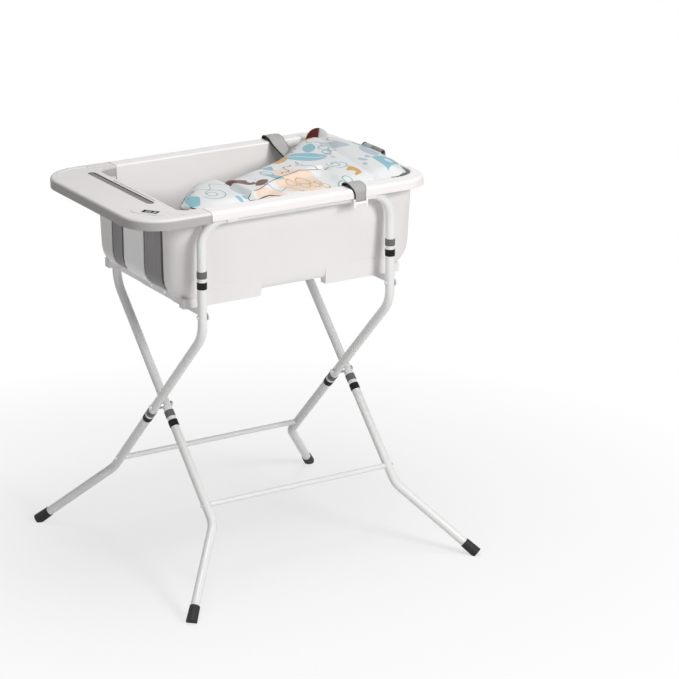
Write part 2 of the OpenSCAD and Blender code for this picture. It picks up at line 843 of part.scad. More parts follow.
// Bath pad: its plan is a table of shares, its section a crowned cushion with drawn-in edges
// Each row is [place along the pad, near edge, far edge], as shares of its length and half widths
pad_plan_shares = [
    [0, -0.56, -0.5], [0.02, -0.8, -0.45], [0.05, -0.93, -0.32], [0.09, -1, -0.13], [0.17, -1, 0.11],
    [0.23, -1, 0.2], [0.285, -1, 0.2], [0.33, -1, 0.13], [0.37, -1, 0.135], [0.44, -1, 0.22],
    [0.51, -1, 0.32], [0.63, -1, 0.51], [0.74, -1, 0.77], [0.83, -1, 0.96], [0.88, -1, 1],
    [0.94, -1, 0.9], [0.965, -0.85, 0.72], [0.985, -0.55, 0.55], [1, -0.1, 0.28]
];
function pad_plan(u, k) = lookup(u, [for (row = pad_plan_shares) [row[0], row[k]]]);
function pad_near(u) = pad_near_y * pad_plan(u, 1);
function pad_far(u) = pad_far_y * pad_plan(u, 2);
function pad_station(i) = (1 - cos(180 * i / pad_cols)) / 2;
function bell(u, at, width) = exp(-pow((u - at) / width, 2));
function pad_crown(u, v) = sqrt(max(0, 1 - pow(abs(2 * v - 1), 2.4))) * sqrt(max(0, 1 - pow(abs(2 * u - 1), 8)))
    * (1 - pad_crease_share * bell(u, pad_crease_at, pad_crease_width));
function pad_rise(u) = max(0, u - pad_rise_from) / (1 - pad_rise_from);
function pad_mid_z(u, v) = pad_low_z + (pad_lift + rim_z - pad_low_z) * pad_rise(u)
    - pad_sag * sin(180 * v) * sin(180 * min(u / 0.9, 1)) - pad_lobe_drop * bell(u, 0.14, 0.16);
function pad_top(u) = pad_t / 2 * (1 - pad_head_thin * pad_rise(u));

// How far a place in plan lies inside the rim's inner edge, and how low the pad may hang there
inner_a = wall_a(rim_z, basin_wall);
inner_b = wall_b(rim_z, basin_wall);
inner_r = basin_r - basin_wall;
function inside(x, y) = let (qx = abs(x - bath_x) - inner_a + inner_r, qy = abs(y) - inner_b + inner_r)
    inner_r - norm([max(qx, 0), max(qy, 0)]) - min(max(qx, qy), 0);
function pad_rest(x, y) = rim_z + pad_seat - pad_slope_share * max(0, inside(x, y) - pad_lie);
function pad_point(u, v, s) = let (
        x = pad_right - pad_l + u * pad_l,
        y = pad_near(u) + v * (pad_far(u) - pad_near(u)),
        c = pad_crown(u, v),
        mid = max(pad_mid_z(u, v), pad_rest(x, y))
    ) [x, y, s > 0 ? mid + pad_top(u) * c : max(mid - pad_t / 2 * c, pad_rest(x, y))];

module bath_pad() {
    rings = [
        for (i = [1:pad_cols - 1])
            let (u = pad_station(i))
            concat(
                [for (j = [0:pad_rows]) pad_point(u, j / pad_rows, -1)],
                [for (j = [pad_rows - 1:-1:1]) pad_point(u, j / pad_rows, 1)]
            )
    ];
    n = len(rings[0]);
    m = len(rings);
    start = pad_point(0, 0.5, 0);
    end = pad_point(1, 0.5, 0);
    points = concat([for (g = rings) each g], [start, end]);
    faces = concat(
        [for (j = [0:n - 1]) [m * n, (j + 1) % n, j]],
        [for (i = [0:m - 2], j = [0:n - 1])
            let (a = i * n + j, b = i * n + (j + 1) % n)
            each [[a, b, b + n], [a, b + n, a + n]]],
        [for (j = [0:n - 1]) [m * n + 1, (m - 1) * n + j, (m - 1) * n + (j + 1) % n]]
    );
    color("aliceblue") difference() {
        polyhedron(points, faces);
        ear_shape(fit);
    }
}

// The ear's root is sewn into a pocket in the pad
module ear_shape(grow) {
    d = ear_d + 2 * grow;
    t = ear_t + 2 * grow;
    translate([ear_x, ear_y, ear_z]) rotate([90 - ear_lean, 0, ear_turn]) {
        intersection() {
            translate([0, 0, -t / 2]) cylinder(h = t, d = d);
            translate([-d / 2, 0, -t / 2]) cube([d, d / 2, t]);
        }
        translate([-d / 2, -ear_root - grow, -t / 2]) cube([d, ear_root + grow, t]);
    }
}

module pad_ear() {
    color("saddlebrown") ear_shape(0);
}

// Straps over the rim: a wide band above, and a narrower tongue down to the clip
strap_drop = 5;
side_strap_in = wall_b(rim_z - strap_drop, basin_wall) - fit - strap_t;

// Section across the rim; its inner end hangs down the wall, or slopes down to the pad from bend_y
module strap_top(outer, bend_y, end_y, end_z) {
    g = strap_gap;
    t = strap_t;
    z = rim_z + g;
    polygon([
        [end_y, end_z], [end_y, end_z + t], [bend_y, z + t], [outer + g + t - rim_fillet, z + t],
        [outer + g + t - rim_fillet * 0.3, z + t - rim_fillet * 0.3], [outer + g + t, z + t - rim_fillet],
        [outer + g, z + t - rim_fillet], [outer + g - rim_fillet * 0.3, z - rim_fillet * 0.3],
        [outer + g - rim_fillet, z], [bend_y, z]
    ]);
}

module tongue(x, frame) {
    z = rim_z + strap_t + strap_gap - rim_fillet;
    y = bath_w / 2 + strap_gap;
    translate([x - tongue_w / 2, frame > 0 ? -y - strap_t : y, lip_z - tongue_end])
        cube([tongue_w, strap_t, z - lip_z + tongue_end]);
}

module front_strap() {
    x = front_strap_x - strap_w / 2;
    color("silver") {
        translate([x, 0, 0]) mirror([0, 1, 0]) rotate([90, 0, 90]) linear_extrude(strap_w) {
            strap_top(bath_w / 2, side_strap_in + strap_t, side_strap_in, rim_z + strap_gap);
            translate([side_strap_in, rim_z + strap_gap - strap_drop]) square([strap_t, strap_drop + strap_t]);
        }
        tongue(front_strap_x, 1);
    }
}

// The rear strap runs on inside the basin to the pad's slanting edge
module rear_strap() {
    x = rear_strap_x - strap_w / 2;
    bend_y = inner_b + inner_fillet * 0.8;
    place = [for (k = [x, x + strap_w]) pad_far((k - pad_right + pad_l) / pad_l) + rear_strap_end];
    end_y = place[0];
    color("silver") {
        difference() {
            translate([x, 0, 0]) rotate([90, 0, 90]) linear_extrude(strap_w)
                strap_top(bath_w / 2, bend_y, end_y, rim_z + strap_gap - (bend_y - end_y) * tan(rear_strap_slope));
            translate([x, 0, lip_z - strap_w]) linear_extrude(3 * strap_w) polygon([
                [-overrun, 0], [-overrun, place[0] - overrun], [0, place[0]], [strap_w, place[1]],
                [strap_w + overrun, place[1]], [strap_w + overrun, 0]
            ]);
        }
        tongue(rear_strap_x, -1);
    }
}

module end_strap() {
    x = bath_x + bath_l / 2 + strap_gap;
    z = rim_z + strap_gap;
    inner = pad_right + fit;
    bend_z = rim_z - rim_fillet;
    cut = rim_fillet * 0.3;
    color("silver") {
        translate([0, end_strap_y + end_strap_w / 2, 0]) rotate([90, 0, 0]) linear_extrude(end_strap_w) polygon([
            [inner, z], [inner, z + strap_t], [x + strap_t - cut, z + strap_t], [x + strap_t, z - cut],
            [x + strap_t, bend_z], [x, bend_z], [x, z - cut - strap_t], [x - cut, z]
        ]);
        translate([x, end_strap_y - tongue_w / 2, lip_z - tongue_end])
            cube([strap_t, tongue_w, bend_z - lip_z + tongue_end]);
    }
}

// H-shaped clips: the tongue hangs between the bars and ends at the web
module clip() {
    half = tongue_w / 2 + fit;
    web_top = -tongue_end - fit;
    for (s = [-1, 1])
        translate([s > 0 ? half : -half - clip_bar, -clip_t / 2, web_top - (clip_h + clip_web_h) / 2])
            cube([clip_bar, clip_t, clip_h]);
    translate([-half, -clip_t / 2, web_top - clip_web_h]) cube([2 * half, clip_t, clip_web_h]);
}

module strap_clips() {
    y = bath_w / 2 + strap_gap + clip_t / 2;
    x = bath_x + bath_l / 2 + strap_gap + clip_t / 2;
    color("white") {
        translate([front_strap_x, -y, lip_z]) clip();
        translate([rear_strap_x, y, lip_z]) clip();
        translate([x, end_strap_y, lip_z]) rotate([0, 0, 90]) clip();
    }
}

top_bar(1);  // front_top_bar
top_bar(-1);  // rear_top_bar
leg(-1, 1);  // front_left_leg
leg(1, 1);  // front_right_leg
leg(-1, -1);  // rear_left_leg
leg(1, -1);  // rear_right_leg
lower_leg(-1, 1);  // front_left_lower_leg
lower_leg(1, 1);  // front_right_lower_leg
lower_leg(-1, -1);  // rear_left_lower_leg
lower_leg(1, -1);  // rear_right_lower_leg
grey_collars(1);  // front_grey_collars
grey_collars(-1);  // rear_grey_collars
black_collars(1);  // front_black_collars
black_collars(-1);  // rear_black_collars
foot(-1, 1);  // front_left_foot
foot(1, 1);  // front_right_foot
foot(-1, -1);  // rear_left_foot
foot(1, -1);  // rear_right_foot
stretcher(1);  // front_stretcher
stretcher(-1);  // rear_stretcher
stretcher_screws(1);  // front_stretcher_screws
stretcher_screws(-1);  // rear_stretcher_screws
link_bolts(1);  // front_link_bolts
link_bolts(-1);  // rear_link_bolts
pivot_bolt(-1);  // left_pivot_bolt
pivot_bolt(1);  // right_pivot_bolt
pivot_spacers();
link(-1, 1);  // front_left_link
link(1, 1);  // front_right_link
link(-1, -1);  // rear_left_link
link(1, -1);  // rear_right_link
link_rivets(1);  // front_link_rivets
link_rivets(-1);  // rear_link_rivets
end_bar(-1);  // left_end_bar
end_bar(1);  // right_end_bar
rail(1);  // front_rail
rail(-1);  // rear_rail
rail_screws();
basin_half(1);  // basin_front_half
basin_half(-1);  // basin_rear_half
middle_panel();
soft_strip(split_front, panel_y1);  // front_soft_strip
soft_strip(panel_y2, split_rear);  // rear_soft_strip
rim_hooks();
drain_seat();
drain_plug();
tray();
tray_slot_liner();
thermometer_case();
thermometer_display();
bath_pad();
pad_ear();
front_strap();
rear_strap();
end_strap();
strap_clips();
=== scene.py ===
"""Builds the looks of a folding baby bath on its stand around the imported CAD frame.

Each piece or group of pieces has its own operator, and a panel in the 3D view's sidebar
lists them. Lengths are in metres, X runs along the bath, Y to its far side and Z up."""

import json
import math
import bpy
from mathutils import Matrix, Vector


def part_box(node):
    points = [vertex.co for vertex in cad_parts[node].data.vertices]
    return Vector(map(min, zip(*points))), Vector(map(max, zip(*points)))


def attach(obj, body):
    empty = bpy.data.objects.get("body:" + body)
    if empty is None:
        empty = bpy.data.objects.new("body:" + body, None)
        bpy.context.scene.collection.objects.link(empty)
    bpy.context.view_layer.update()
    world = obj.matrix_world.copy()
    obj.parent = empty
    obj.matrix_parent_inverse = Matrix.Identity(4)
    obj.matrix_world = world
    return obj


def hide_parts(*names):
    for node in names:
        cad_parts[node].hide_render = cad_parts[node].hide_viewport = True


bl_info = {
    "name": "Folding Baby Bath",
    "version": (1, 0, 0),
    "blender": (4, 5, 0),
    "location": "View3D > Sidebar > Baby Bath",
    "description": "Dresses a folding baby bath and its stand",
    "category": "Object",
}

import bmesh
import bpy
import numpy as np
from mathutils import Matrix, Vector
from mathutils.bvhtree import BVHTree

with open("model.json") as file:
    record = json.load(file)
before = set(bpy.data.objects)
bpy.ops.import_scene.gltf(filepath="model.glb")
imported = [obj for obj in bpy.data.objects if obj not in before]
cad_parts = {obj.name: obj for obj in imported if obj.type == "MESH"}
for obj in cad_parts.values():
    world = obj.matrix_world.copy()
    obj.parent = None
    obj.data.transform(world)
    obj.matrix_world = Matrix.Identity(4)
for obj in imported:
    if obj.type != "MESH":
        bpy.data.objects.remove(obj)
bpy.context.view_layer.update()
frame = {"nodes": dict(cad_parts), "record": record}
NODES = frame["nodes"]


# Shader maths


def add_node(tree, kind, inputs=None, **settings):
    """Adds a node: its settings first, then the values or links of its sockets."""
    made = tree.nodes.new(kind)
    for key, value in settings.items():
        setattr(made, key, value)
    for key, value in (inputs or {}).items():
        if isinstance(value, Expr):
            tree.links.new(value.socket, made.inputs[key])
        elif value is not None:
            made.inputs[key].default_value = value
    return made


class Expr:
    """A node's value that can be used in plain arithmetic."""

    def __init__(self, tree, socket):
        self.tree = tree
        self.socket = socket

    def math(self, operation, *others):
        inputs = dict(enumerate((self, *others)))
        return Expr(self.tree, add_node(self.tree, "ShaderNodeMath", inputs, operation=operation).outputs[0])

    def __add__(self, other):
        return self.math("ADD", other)

    def __sub__(self, other):
        return self.math("SUBTRACT", other)

    def __rsub__(self, other):
        return -self + other

    def __mul__(self, other):
        return self.math("MULTIPLY", other)

    def __neg__(self):
        return self.math("MULTIPLY", -1.0)

    def __abs__(self):
        return self.math("ABSOLUTE")

    __radd__ = __add__
    __rmul__ = __mul__

    def sin(self):
        return self.math("SINE")

    def sqrt(self):
        return self.math("SQRT")

    def min(self, other):
        return self.math("MINIMUM", other)

    def max(self, other):
        return self.math("MAXIMUM", other)

    def clamp(self):
        return self.min(1.0).max(0.0)

    def inside(self, softness):
        """1 where this distance is negative, 0 where it is positive."""
        return (0.5 - self * (1.0 / softness)).clamp()


class Paint:
    """One material: its node tree, its Principled shader and the few nodes it is made of."""

    def __init__(self, name, color, roughness, **constants):
        self.material = bpy.data.materials.new(name)
        self.material.use_nodes = True
        self.material.diffuse_color = (*color, 1.0)
        self.tree = self.material.node_tree
        self.shader = self.tree.nodes["Principled BSDF"]
        self.shader.inputs["Base Color"].default_value = (*color, 1.0)
        self.shader.inputs["Roughness"].default_value = roughness
        for key, value in constants.items():
            self.shader.inputs[key.replace("_", " ")].default_value = value
        self.relief = None

    def node(self, kind, output=0, inputs=None, **settings):
        """The wanted output of a new node."""
        return Expr(self.tree, add_node(self.tree, kind, inputs, **settings).outputs[output])

    def place(self):
        return self.node("ShaderNodeTexCoord", "Object")

    def axes(self, vector=None):
        """The three parts of a place, which is the object's own unless one is given."""
        made = add_node(self.tree, "ShaderNodeSeparateXYZ", {"Vector": vector or self.place()})
        return [Expr(self.tree, out) for out in made.outputs]

    def noise(self, scale, detail=2.0, rough=0.5, stretch=None):
        where = self.place()
        if stretch:
            where = self.node("ShaderNodeMapping", 0, {"Vector": where, "Scale": stretch})
        inputs = {"Vector": where, "Scale": scale, "Detail": detail, "Roughness": rough}
        return self.node("ShaderNodeTexNoise", "Fac", inputs)

    def mix(self, factor, first, second):
        """A colour between two, each a plain colour or one from this tree."""
        first, second = (end if isinstance(end, Expr) else (*end, 1.0) for end in (first, second))
        return self.node("ShaderNodeMix", 2, {0: factor, 6: first, 7: second}, data_type="RGBA")

    def feed(self, name, value):
        self.tree.links.new(value.socket, self.shader.inputs[name])

    def bump(self, height, distance):
        """Adds a height in the 0 to 1 range as relief of the given depth, in metres."""
        inputs = {"Strength": 1.0, "Distance": distance, "Height": height, "Normal": self.relief}
        self.relief = self.node("ShaderNodeBump", 0, inputs)
        self.feed("Normal", self.relief)


def tint(color, amount):
    return tuple(min(1.0, c * amount) for c in color)


def moulded(name, color, roughness, grain=0.00006, wear=0.04, **constants):
    """Moulded plastic: fine grain, cloudy sheen and a little tone from place to place."""
    paint = Paint(name, color, roughness, **constants)
    cloud = paint.noise(6.0, 4.0)
    paint.feed("Base Color", paint.mix(cloud, tint(color, 1 - wear), tint(color, 1 + wear)))
    scuff = paint.noise(38.0, 5.0, 0.65)
    paint.feed("Roughness", (scuff * 0.16 + cloud * 0.08 + (roughness - 0.12)).clamp())
    paint.bump(paint.noise(900.0), grain)
    return paint


def coated(name, color, roughness):
    """Powder coat on steel: orange peel, with a clear sheen."""
    paint = Paint(name, color, roughness, Coat_Weight=0.25, Coat_Roughness=0.12)
    cloud = paint.noise(9.0, 3.0)
    paint.feed("Base Color", paint.mix(cloud, tint(color, 0.97), tint(color, 1.02)))
    paint.feed("Roughness", paint.noise(60.0, 4.0) * 0.12 + (roughness - 0.06))
    paint.bump(paint.noise(420.0, 1.0), 0.00008)
    return paint


def rubbery(name, color, roughness):
    """Matt rubber with fine grain."""
    paint = Paint(name, color, roughness, Specular_IOR_Level=0.35)
    cloud = paint.noise(14.0, 4.0)
    paint.feed("Base Color", paint.mix(cloud, tint(color, 0.93), tint(color, 1.06)))
    paint.feed("Roughness", paint.noise(80.0, 3.0) * 0.2 + (roughness - 0.1))
    paint.bump(paint.noise(1500.0), 0.00007)
    return paint


def metal(name, color, roughness):
    """Plated steel, brushed across."""
    paint = Paint(name, color, roughness, Metallic=1.0)
    brushed = paint.noise(260.0, 3.0, stretch=(1.0, 7.0, 1.0))
    paint.feed("Base Color", paint.mix(brushed, tint(color, 0.9), tint(color, 1.05)))
    paint.feed("Roughness", brushed * 0.2 + (roughness - 0.08))
    paint.bump(brushed, 0.00005)
    return paint


# Where the soft strips meet the rigid parts, and how wide the painted shadow in the gap is there
STRIP_JOINT_SHADOWS = ((-0.156, 0.0145), (-0.058, 0.0030), (0.042, 0.0125), (0.105, 0.0030))


def ribbed_strip(name, color):
    """The soft folding strips: matt, with shallow fold lines, painted shade that follows the folds and
    darkens them towards the bottom, and a painted shadow in the gap at each side.
    """
    paint = rubbery(name, color, 0.62)
    _, y, z = paint.axes()
    folds = (y * 330.0).sin() * 0.5 + 0.5
    paint.bump(folds, 0.0004)
    # Random tone plus painted shade: it follows the folds and darkens the strip towards its bottom
    shade = paint.noise(5.0, 3.0) * 0.5 + folds * 0.12 + (z - 0.72) * 1.2
    tone = paint.mix(shade.clamp(), tint(color, 0.82), tint(color, 1.18))
    # A near-black painted shadow in the gap where each strip meets a rigid part
    for place, width in STRIP_JOINT_SHADOWS:
        tone = paint.mix((abs(y - place) - width).inside(0.0008) * 0.9, tone, tint(color, 0.08))
    paint.feed("Base Color", tone)
    return paint


# The print on the pad: leaves, pebbles, rings, arches, waves and dots, each at its own place

TEAL = (0.20, 0.46, 0.54)
TEAL_LINE = (0.20, 0.38, 0.42)
MUSTARD = (0.60, 0.30, 0.04)
PEACH = (0.78, 0.61, 0.49)
BROWN = (0.115, 0.018, 0.013)
SLATE = (0.42, 0.49, 0.57)
GREY_LINE = (0.30, 0.30, 0.32)
GOLD_LINE = (0.55, 0.36, 0.13)
PALE = (0.70, 0.83, 0.84)

# Kind, x and y in millimetres, size in millimetres, turn in degrees, colour
MOTIFS = (
    ("pebble", 62, -105, 58, 10, PEACH),
    ("loops", 66, -112, 34, 12, GOLD_LINE),
    ("loops", 104, -150, 24, 160, GOLD_LINE),
    ("leaf", 168, 40, 52, -28, TEAL),
    ("stem", 168, 40, 50, -28, PALE),
    ("leaf", 216, 92, 27, 40, TEAL),
    ("coral", 118, 62, 40, 38, MUSTARD),
    ("coral", 322, -118, 26, 190, MUSTARD),
    ("coral", 212, -128, 20, 95, MUSTARD),
    ("spiral", -176, -128, 36, 12, TEAL_LINE),
    ("wave", -150, -70, 46, 10, TEAL_LINE),
    ("loops", -212, -60, 22, -18, TEAL_LINE),
    ("pebble", -226, -128, 19, 70, TEAL),
    ("drops", -128, -182, 22, 25, TEAL),
    ("leaf", -104, -118, 27, 65, SLATE),
    ("arch", -44, -22, 33, 150, BROWN),
    ("leaf", -52, -58, 26, -40, BROWN),
    ("leaf", -22, -92, 20, 12, BROWN),
    ("dot", -36, -60, 7, 0, PALE),
    ("coral", 40, 2, 24, -60, TEAL),
    ("wave", 12, -140, 40, -14, GREY_LINE),
    ("pebble", -36, -170, 38, -30, PEACH),
    ("wave", 78, -34, 30, 42, BROWN),
    ("ring", 20, -42, 13, 0, GREY_LINE),
    ("arch", 268, 10, 50, -64, SLATE),
    ("leaf", 308, -40, 36, 70, SLATE),
    ("wave", 284, 92, 40, 60, GREY_LINE),
    ("wave", 246, 120, 34, 96, TEAL_LINE),
    ("drops", 226, 8, 24, 50, SLATE),
    ("shard", 300, -132, 44, 24, TEAL),
    ("dot", 306, -134, 9, 0, PALE),
    ("spiral", 196, -66, 26, -40, TEAL_LINE),
    ("stem", 148, -48, 44, -30, GREY_LINE),
    ("loops", 158, -178, 24, 30, TEAL_LINE),
    ("drops", 128, -8, 13, 80, GREY_LINE),
    ("ring", 330, 60, 15, 0, GREY_LINE),
    ("leaf", 326, 22, 22, -30, TEAL),
    ("coral", 258, 178, 20, -140, MUSTARD),
    ("wave", 330, -74, 26, -30, GREY_LINE),
    ("leaf", 272, 62, 32, -50, SLATE),
    ("arch", 292, -62, 34, 25, TEAL),
    ("drops", 262, -96, 26, 30, SLATE),
    ("loops", 236, 44, 26, 70, TEAL_LINE),
    ("leaf", -78, -12, 30, -38, BROWN),
    ("shard", 26, -76, 22, 130, TEAL),
    ("wave", 180, 118, 24, 35, BROWN),
)
# Half the width of a drawn line, the softness of an edge, and how much motifs are drawn out in Y
LINE = 0.0015
SOFT = 0.0007
STRETCH = 0.62
# Motifs that are drawn as a line, while the others are filled
LINED = ("stem", "wave", "loops", "spiral", "ring")


def length(x, y):
    return (x * x + y * y).sqrt()


def motif_shape(kind, u, v, size):
    """Distance to a motif's line, or to its edge with negative values inside it, in metres."""
    s = size / 1000.0
    if kind == "leaf":
        bow = 0.75 * s
        d = length(u, v - bow).max(length(u, v + bow)) - 1.25 * s
    elif kind == "stem":
        d = abs(v + (u * (3.0 / s)).sin() * (0.06 * s)).max(abs(u) - 0.86 * s)
    elif kind == "pebble":
        d = length(u, v * 1.25) - s
        d = d + (u * (4.1 / s)).sin() * (v * (3.3 / s) + 1.0).sin() * (0.12 * s)
    elif kind == "dot":
        d = length(u, v) - s
    elif kind == "ring":
        d = abs(length(u, v) - s)
    elif kind == "arch":
        first = abs(length(u, v) - s)
        second = abs(length(u, v) - 0.68 * s)
        third = abs(length(u, v) - 0.36 * s)
        d = first.min(second).min(third).max(-v)
    elif kind == "wave":
        d = abs(v - (u * (5.2 / s)).sin() * (0.22 * s)).max(abs(u) - s)
    elif kind == "loops":
        first = abs(length(u - 0.45 * s, v) - 0.42 * s)
        second = abs(length(u + 0.45 * s, v - 0.15 * s) - 0.34 * s)
        third = abs(length(u, v + 0.5 * s) - 0.3 * s)
        d = first.min(second).min(third)
    elif kind == "coral":
        trunk = length(u * 0.42, v) - 0.34 * s
        twigs = (u * (5.5 / s)).sin() * 0.5 + 0.5
        branch = (v - twigs * (0.85 * s)).max(-v - 0.1 * s).max(abs(u) - 0.95 * s)
        d = trunk.min(branch)
    elif kind == "shard":
        d = (v * 0.8 + u * 0.55 - 0.5 * s).max(v * 0.5 - u * 0.8 - 0.45 * s).max(-v - 0.4 * s)
    elif kind == "spiral":
        first = abs(length(u - 0.3 * s, v * 1.3) - 0.62 * s).max(-v - 0.1 * s)
        second = abs(length(u - 0.12 * s, v * 1.3) - 0.8 * s).max(v)
        third = abs(length(u - 0.02 * s, v * 1.3) - 0.34 * s)
        d = first.min(second).min(third)
    elif kind == "drops":
        d = length(u - 0.7 * s, v) - 0.26 * s
        d = d.min(length(u, v * 0.6 - 0.12 * s) - 0.24 * s)
        d = d.min(length(u + 0.65 * s, v + 0.2 * s) - 0.2 * s)
    else:
        raise ValueError(kind)
    return d


def printed_fabric(name):
    """The pad's knit with the motifs printed on it, seen in plan."""
    base = (0.73, 0.74, 0.745)
    paint = Paint(name, base, 0.82, Specular_IOR_Level=0.25, Sheen_Weight=0.25, Sheen_Roughness=0.4)
    x, y, _ = paint.axes()
    jitter = paint.noise(160.0) * 0.0016 - 0.0008
    color = paint.mix(paint.noise(3.0, 3.0), tint(base, 0.95), tint(base, 1.03))
    for kind, mx, my, size, turn, tone in MOTIFS:
        a = math.radians(turn)
        px, py = x - mx / 1000.0, (y - my / 1000.0) * STRETCH
        u = px * math.cos(a) + py * math.sin(a)
        v = py * math.cos(a) - px * math.sin(a)
        shape = motif_shape(kind, u, v, size)
        if kind in LINED:
            cover = (shape - LINE).inside(SOFT) * 0.85
        else:
            cover = (shape + jitter).inside(SOFT) * 0.9
        color = paint.mix(cover, color, tone)
    paint.feed("Base Color", color)
    knit = ((x + y) * 2600.0).sin() * ((x - y) * 2600.0).sin() * 0.5 + 0.5
    paint.feed("Roughness", knit * 0.12 + 0.74)
    paint.bump(paint.noise(26.0, 4.0), 0.0011)
    paint.bump(knit, 0.00012)
    return paint


def plain_knit(name, color):
    """Fine knit in one colour."""
    paint = Paint(name, color, 0.85, Specular_IOR_Level=0.2, Sheen_Weight=0.2, Sheen_Roughness=0.4)
    x, y, z = paint.axes()
    knit = ((x + z) * 2400.0).sin() * ((z - y) * 2400.0).sin() * 0.5 + 0.5
    cloud = paint.noise(40.0, 3.0) * 0.6 + knit * 0.3
    paint.feed("Base Color", paint.mix(cloud, tint(color, 0.88), tint(color, 1.08)))
    paint.feed("Roughness", knit * 0.1 + 0.78)
    paint.bump(knit, 0.00015)
    return paint


def webbing(name, color, width):
    """Woven band: herringbone across, with darker selvedges. Its UVs are in metres."""
    paint = Paint(name, color, 0.7, Specular_IOR_Level=0.3, Sheen_Weight=0.15)
    across, along, _ = paint.axes(paint.node("ShaderNodeTexCoord", "UV"))
    zig = abs(across.math("PINGPONG", width / 6.0)) * 1.2
    twill = ((along + zig) * 3600.0).sin() * 0.5 + 0.5
    rib = (across * 5200.0).sin() * 0.5 + 0.5
    edge = (abs(across - width / 2) - (width / 2 - 0.0016)).inside(0.0008)
    tone = paint.mix(twill * 0.6 + rib * 0.2, tint(color, 0.8), tint(color, 1.08))
    paint.feed("Base Color", paint.mix(edge, tint(color, 0.5), tone))
    paint.feed("Roughness", twill * 0.2 + 0.6)
    paint.bump(twill * 0.7 + rib * 0.3, 0.00025)
    return paint


# Where the tray's arms meet the rim, half the width of the painted shadow in that joint, and the height of
# the tray's lip, below which painted shade darkens it
TRAY_JOINT, JOINT_SHADOW_HALF, LIP_TOP = -0.25, 0.0012, 0.9385


def paint_joint_shadow_and_lip_shade(paint, color, lip=1.0):
    """Paints a shadow on a moulded finish in the gap where the tray's arms meet the rim, and, if asked,
    painted shade that darkens its lip.
    """
    x, _, z = paint.axes()
    # Painted shadow in the gap between the tray's arm and the rim
    line = (abs(x - TRAY_JOINT) - JOINT_SHADOW_HALF).inside(0.0006) * 0.7
    cloud = paint.noise(6.0, 4.0)
    body = paint.mix(cloud, tint(color, 0.985), tint(color, 1.015))
    # Painted shade on the lip's side, below the tray's top
    if lip < 1.0:
        body = paint.mix((z - LIP_TOP).inside(0.004), body, tint(color, lip))
    paint.feed("Base Color", paint.mix(line, body, tint(color, 0.2)))


# How each finish is made: its function, and what that takes beside the finish's name
FINISHES = {
    "painted_tube": (coated, (0.82, 0.815, 0.81), 0.3),
    "painted_plate": (coated, (0.80, 0.80, 0.80), 0.4),
    "grey_collar": (moulded, (0.12, 0.115, 0.115), 0.5),
    "foot_rubber": (rubbery, (0.014, 0.014, 0.014), 0.62),
    "zinc_steel": (metal, (0.62, 0.62, 0.64), 0.32),
    "soft_strip": (ribbed_strip, (0.31, 0.30, 0.31)),
    "drain_plastic": (moulded, (0.62, 0.62, 0.62), 0.3),
    "plug_rubber": (rubbery, (0.36, 0.36, 0.37), 0.5),
    "slot_plastic": (moulded, (0.17, 0.16, 0.155), 0.55),
    "meter_plastic": (moulded, (0.66, 0.645, 0.635), 0.33),
    "pad_fabric": (printed_fabric,),
    # Dark knit for the pad's piping, also for the cords of painted shade in its fold and sag
    "pad_binding": (plain_knit, (0.07, 0.07, 0.072)),
    "ear_fabric": (plain_knit, BROWN),
    "ear_light": (plain_knit, (0.62, 0.61, 0.61)),
    "webbing": (webbing, (0.45, 0.44, 0.435), 0.04),
    # Near black for the bands' sides, underside and edge cord: a black backing, partly standing in for the
    # shadow along the bands' edges
    "strap_back": (plain_knit, (0.012, 0.012, 0.012)),
    "thread": (plain_knit, (0.6, 0.6, 0.6)),
    "clip_plastic": (moulded, (0.94, 0.93, 0.92), 0.4),
}
PAINTS = {}


def make_paints(settings):
    """Makes every finish, then those that take more than a colour and a roughness."""
    PAINTS.clear()
    for name, (maker, *given) in FINISHES.items():
        PAINTS[name] = maker(name, *given)

    def special(name, color, roughness, **more):
        PAINTS[name] = moulded(name, color, roughness, **more)
        return PAINTS[name]

    white = settings.plastic_tone
    bath_tone = (white, white * 0.972, white * 0.958)
    tray_tone = (0.715, 0.695, 0.685)
    # Both get the painted shadow at the tray's joint; the tray's lip also gets painted shade
    paint_joint_shadow_and_lip_shade(special("bath_plastic", bath_tone, 0.42, Specular_IOR_Level=0.15), bath_tone)
    paint_joint_shadow_and_lip_shade(special("tray_plastic", tray_tone, 0.42, Specular_IOR_Level=0.15), tray_tone, lip=0.64)
    # The panel's plastic is made lighter than the bath's: painted light for its dimly lit end face
    special("panel_plastic", (0.92, 0.915, 0.92), 0.45, wear=0.015)
    special("black_collar", (0.006, 0.006, 0.006), 0.5, Specular_IOR_Level=0.2)
    special("display", (0.003, 0.003, 0.003), 0.3, grain=0.00001, Specular_IOR_Level=0.0)
    special("digits", (0.86, 0.87, 0.88), 0.4, grain=0.00001, wear=0.02)


# Meshes


def add_object(name, data):
    """Puts a new object with this data in the scene."""
    made = bpy.data.objects.new(name, data)
    bpy.context.scene.collection.objects.link(made)
    return made


def shade(mesh, smooth=True):
    mesh.polygons.foreach_set("use_smooth", [smooth] * len(mesh.polygons))


def turn_outwards(mesh, merge=0.0):
    """Merges points that lie closer than merge, and turns the faces outwards."""
    bm = bmesh.new()
    bm.from_mesh(mesh)
    if merge:
        bmesh.ops.remove_doubles(bm, verts=bm.verts, dist=merge)
    bmesh.ops.recalc_face_normals(bm, faces=bm.faces)
    bm.to_mesh(mesh)
    bm.free()


def new_object(name, verts, faces, paints, material_index=None, smooth=True):
    mesh = bpy.data.meshes.new(name)
    mesh.from_pydata([tuple(v) for v in verts], [], faces)
    mesh.validate()
    made = add_object(name, mesh)
    for paint in paints:
        mesh.materials.append(PAINTS[paint].material)
    if material_index is not None:
        mesh.polygons.foreach_set("material_index", material_index)
    shade(mesh, smooth)
    turn_outwards(mesh)
    mesh.update()
    return made


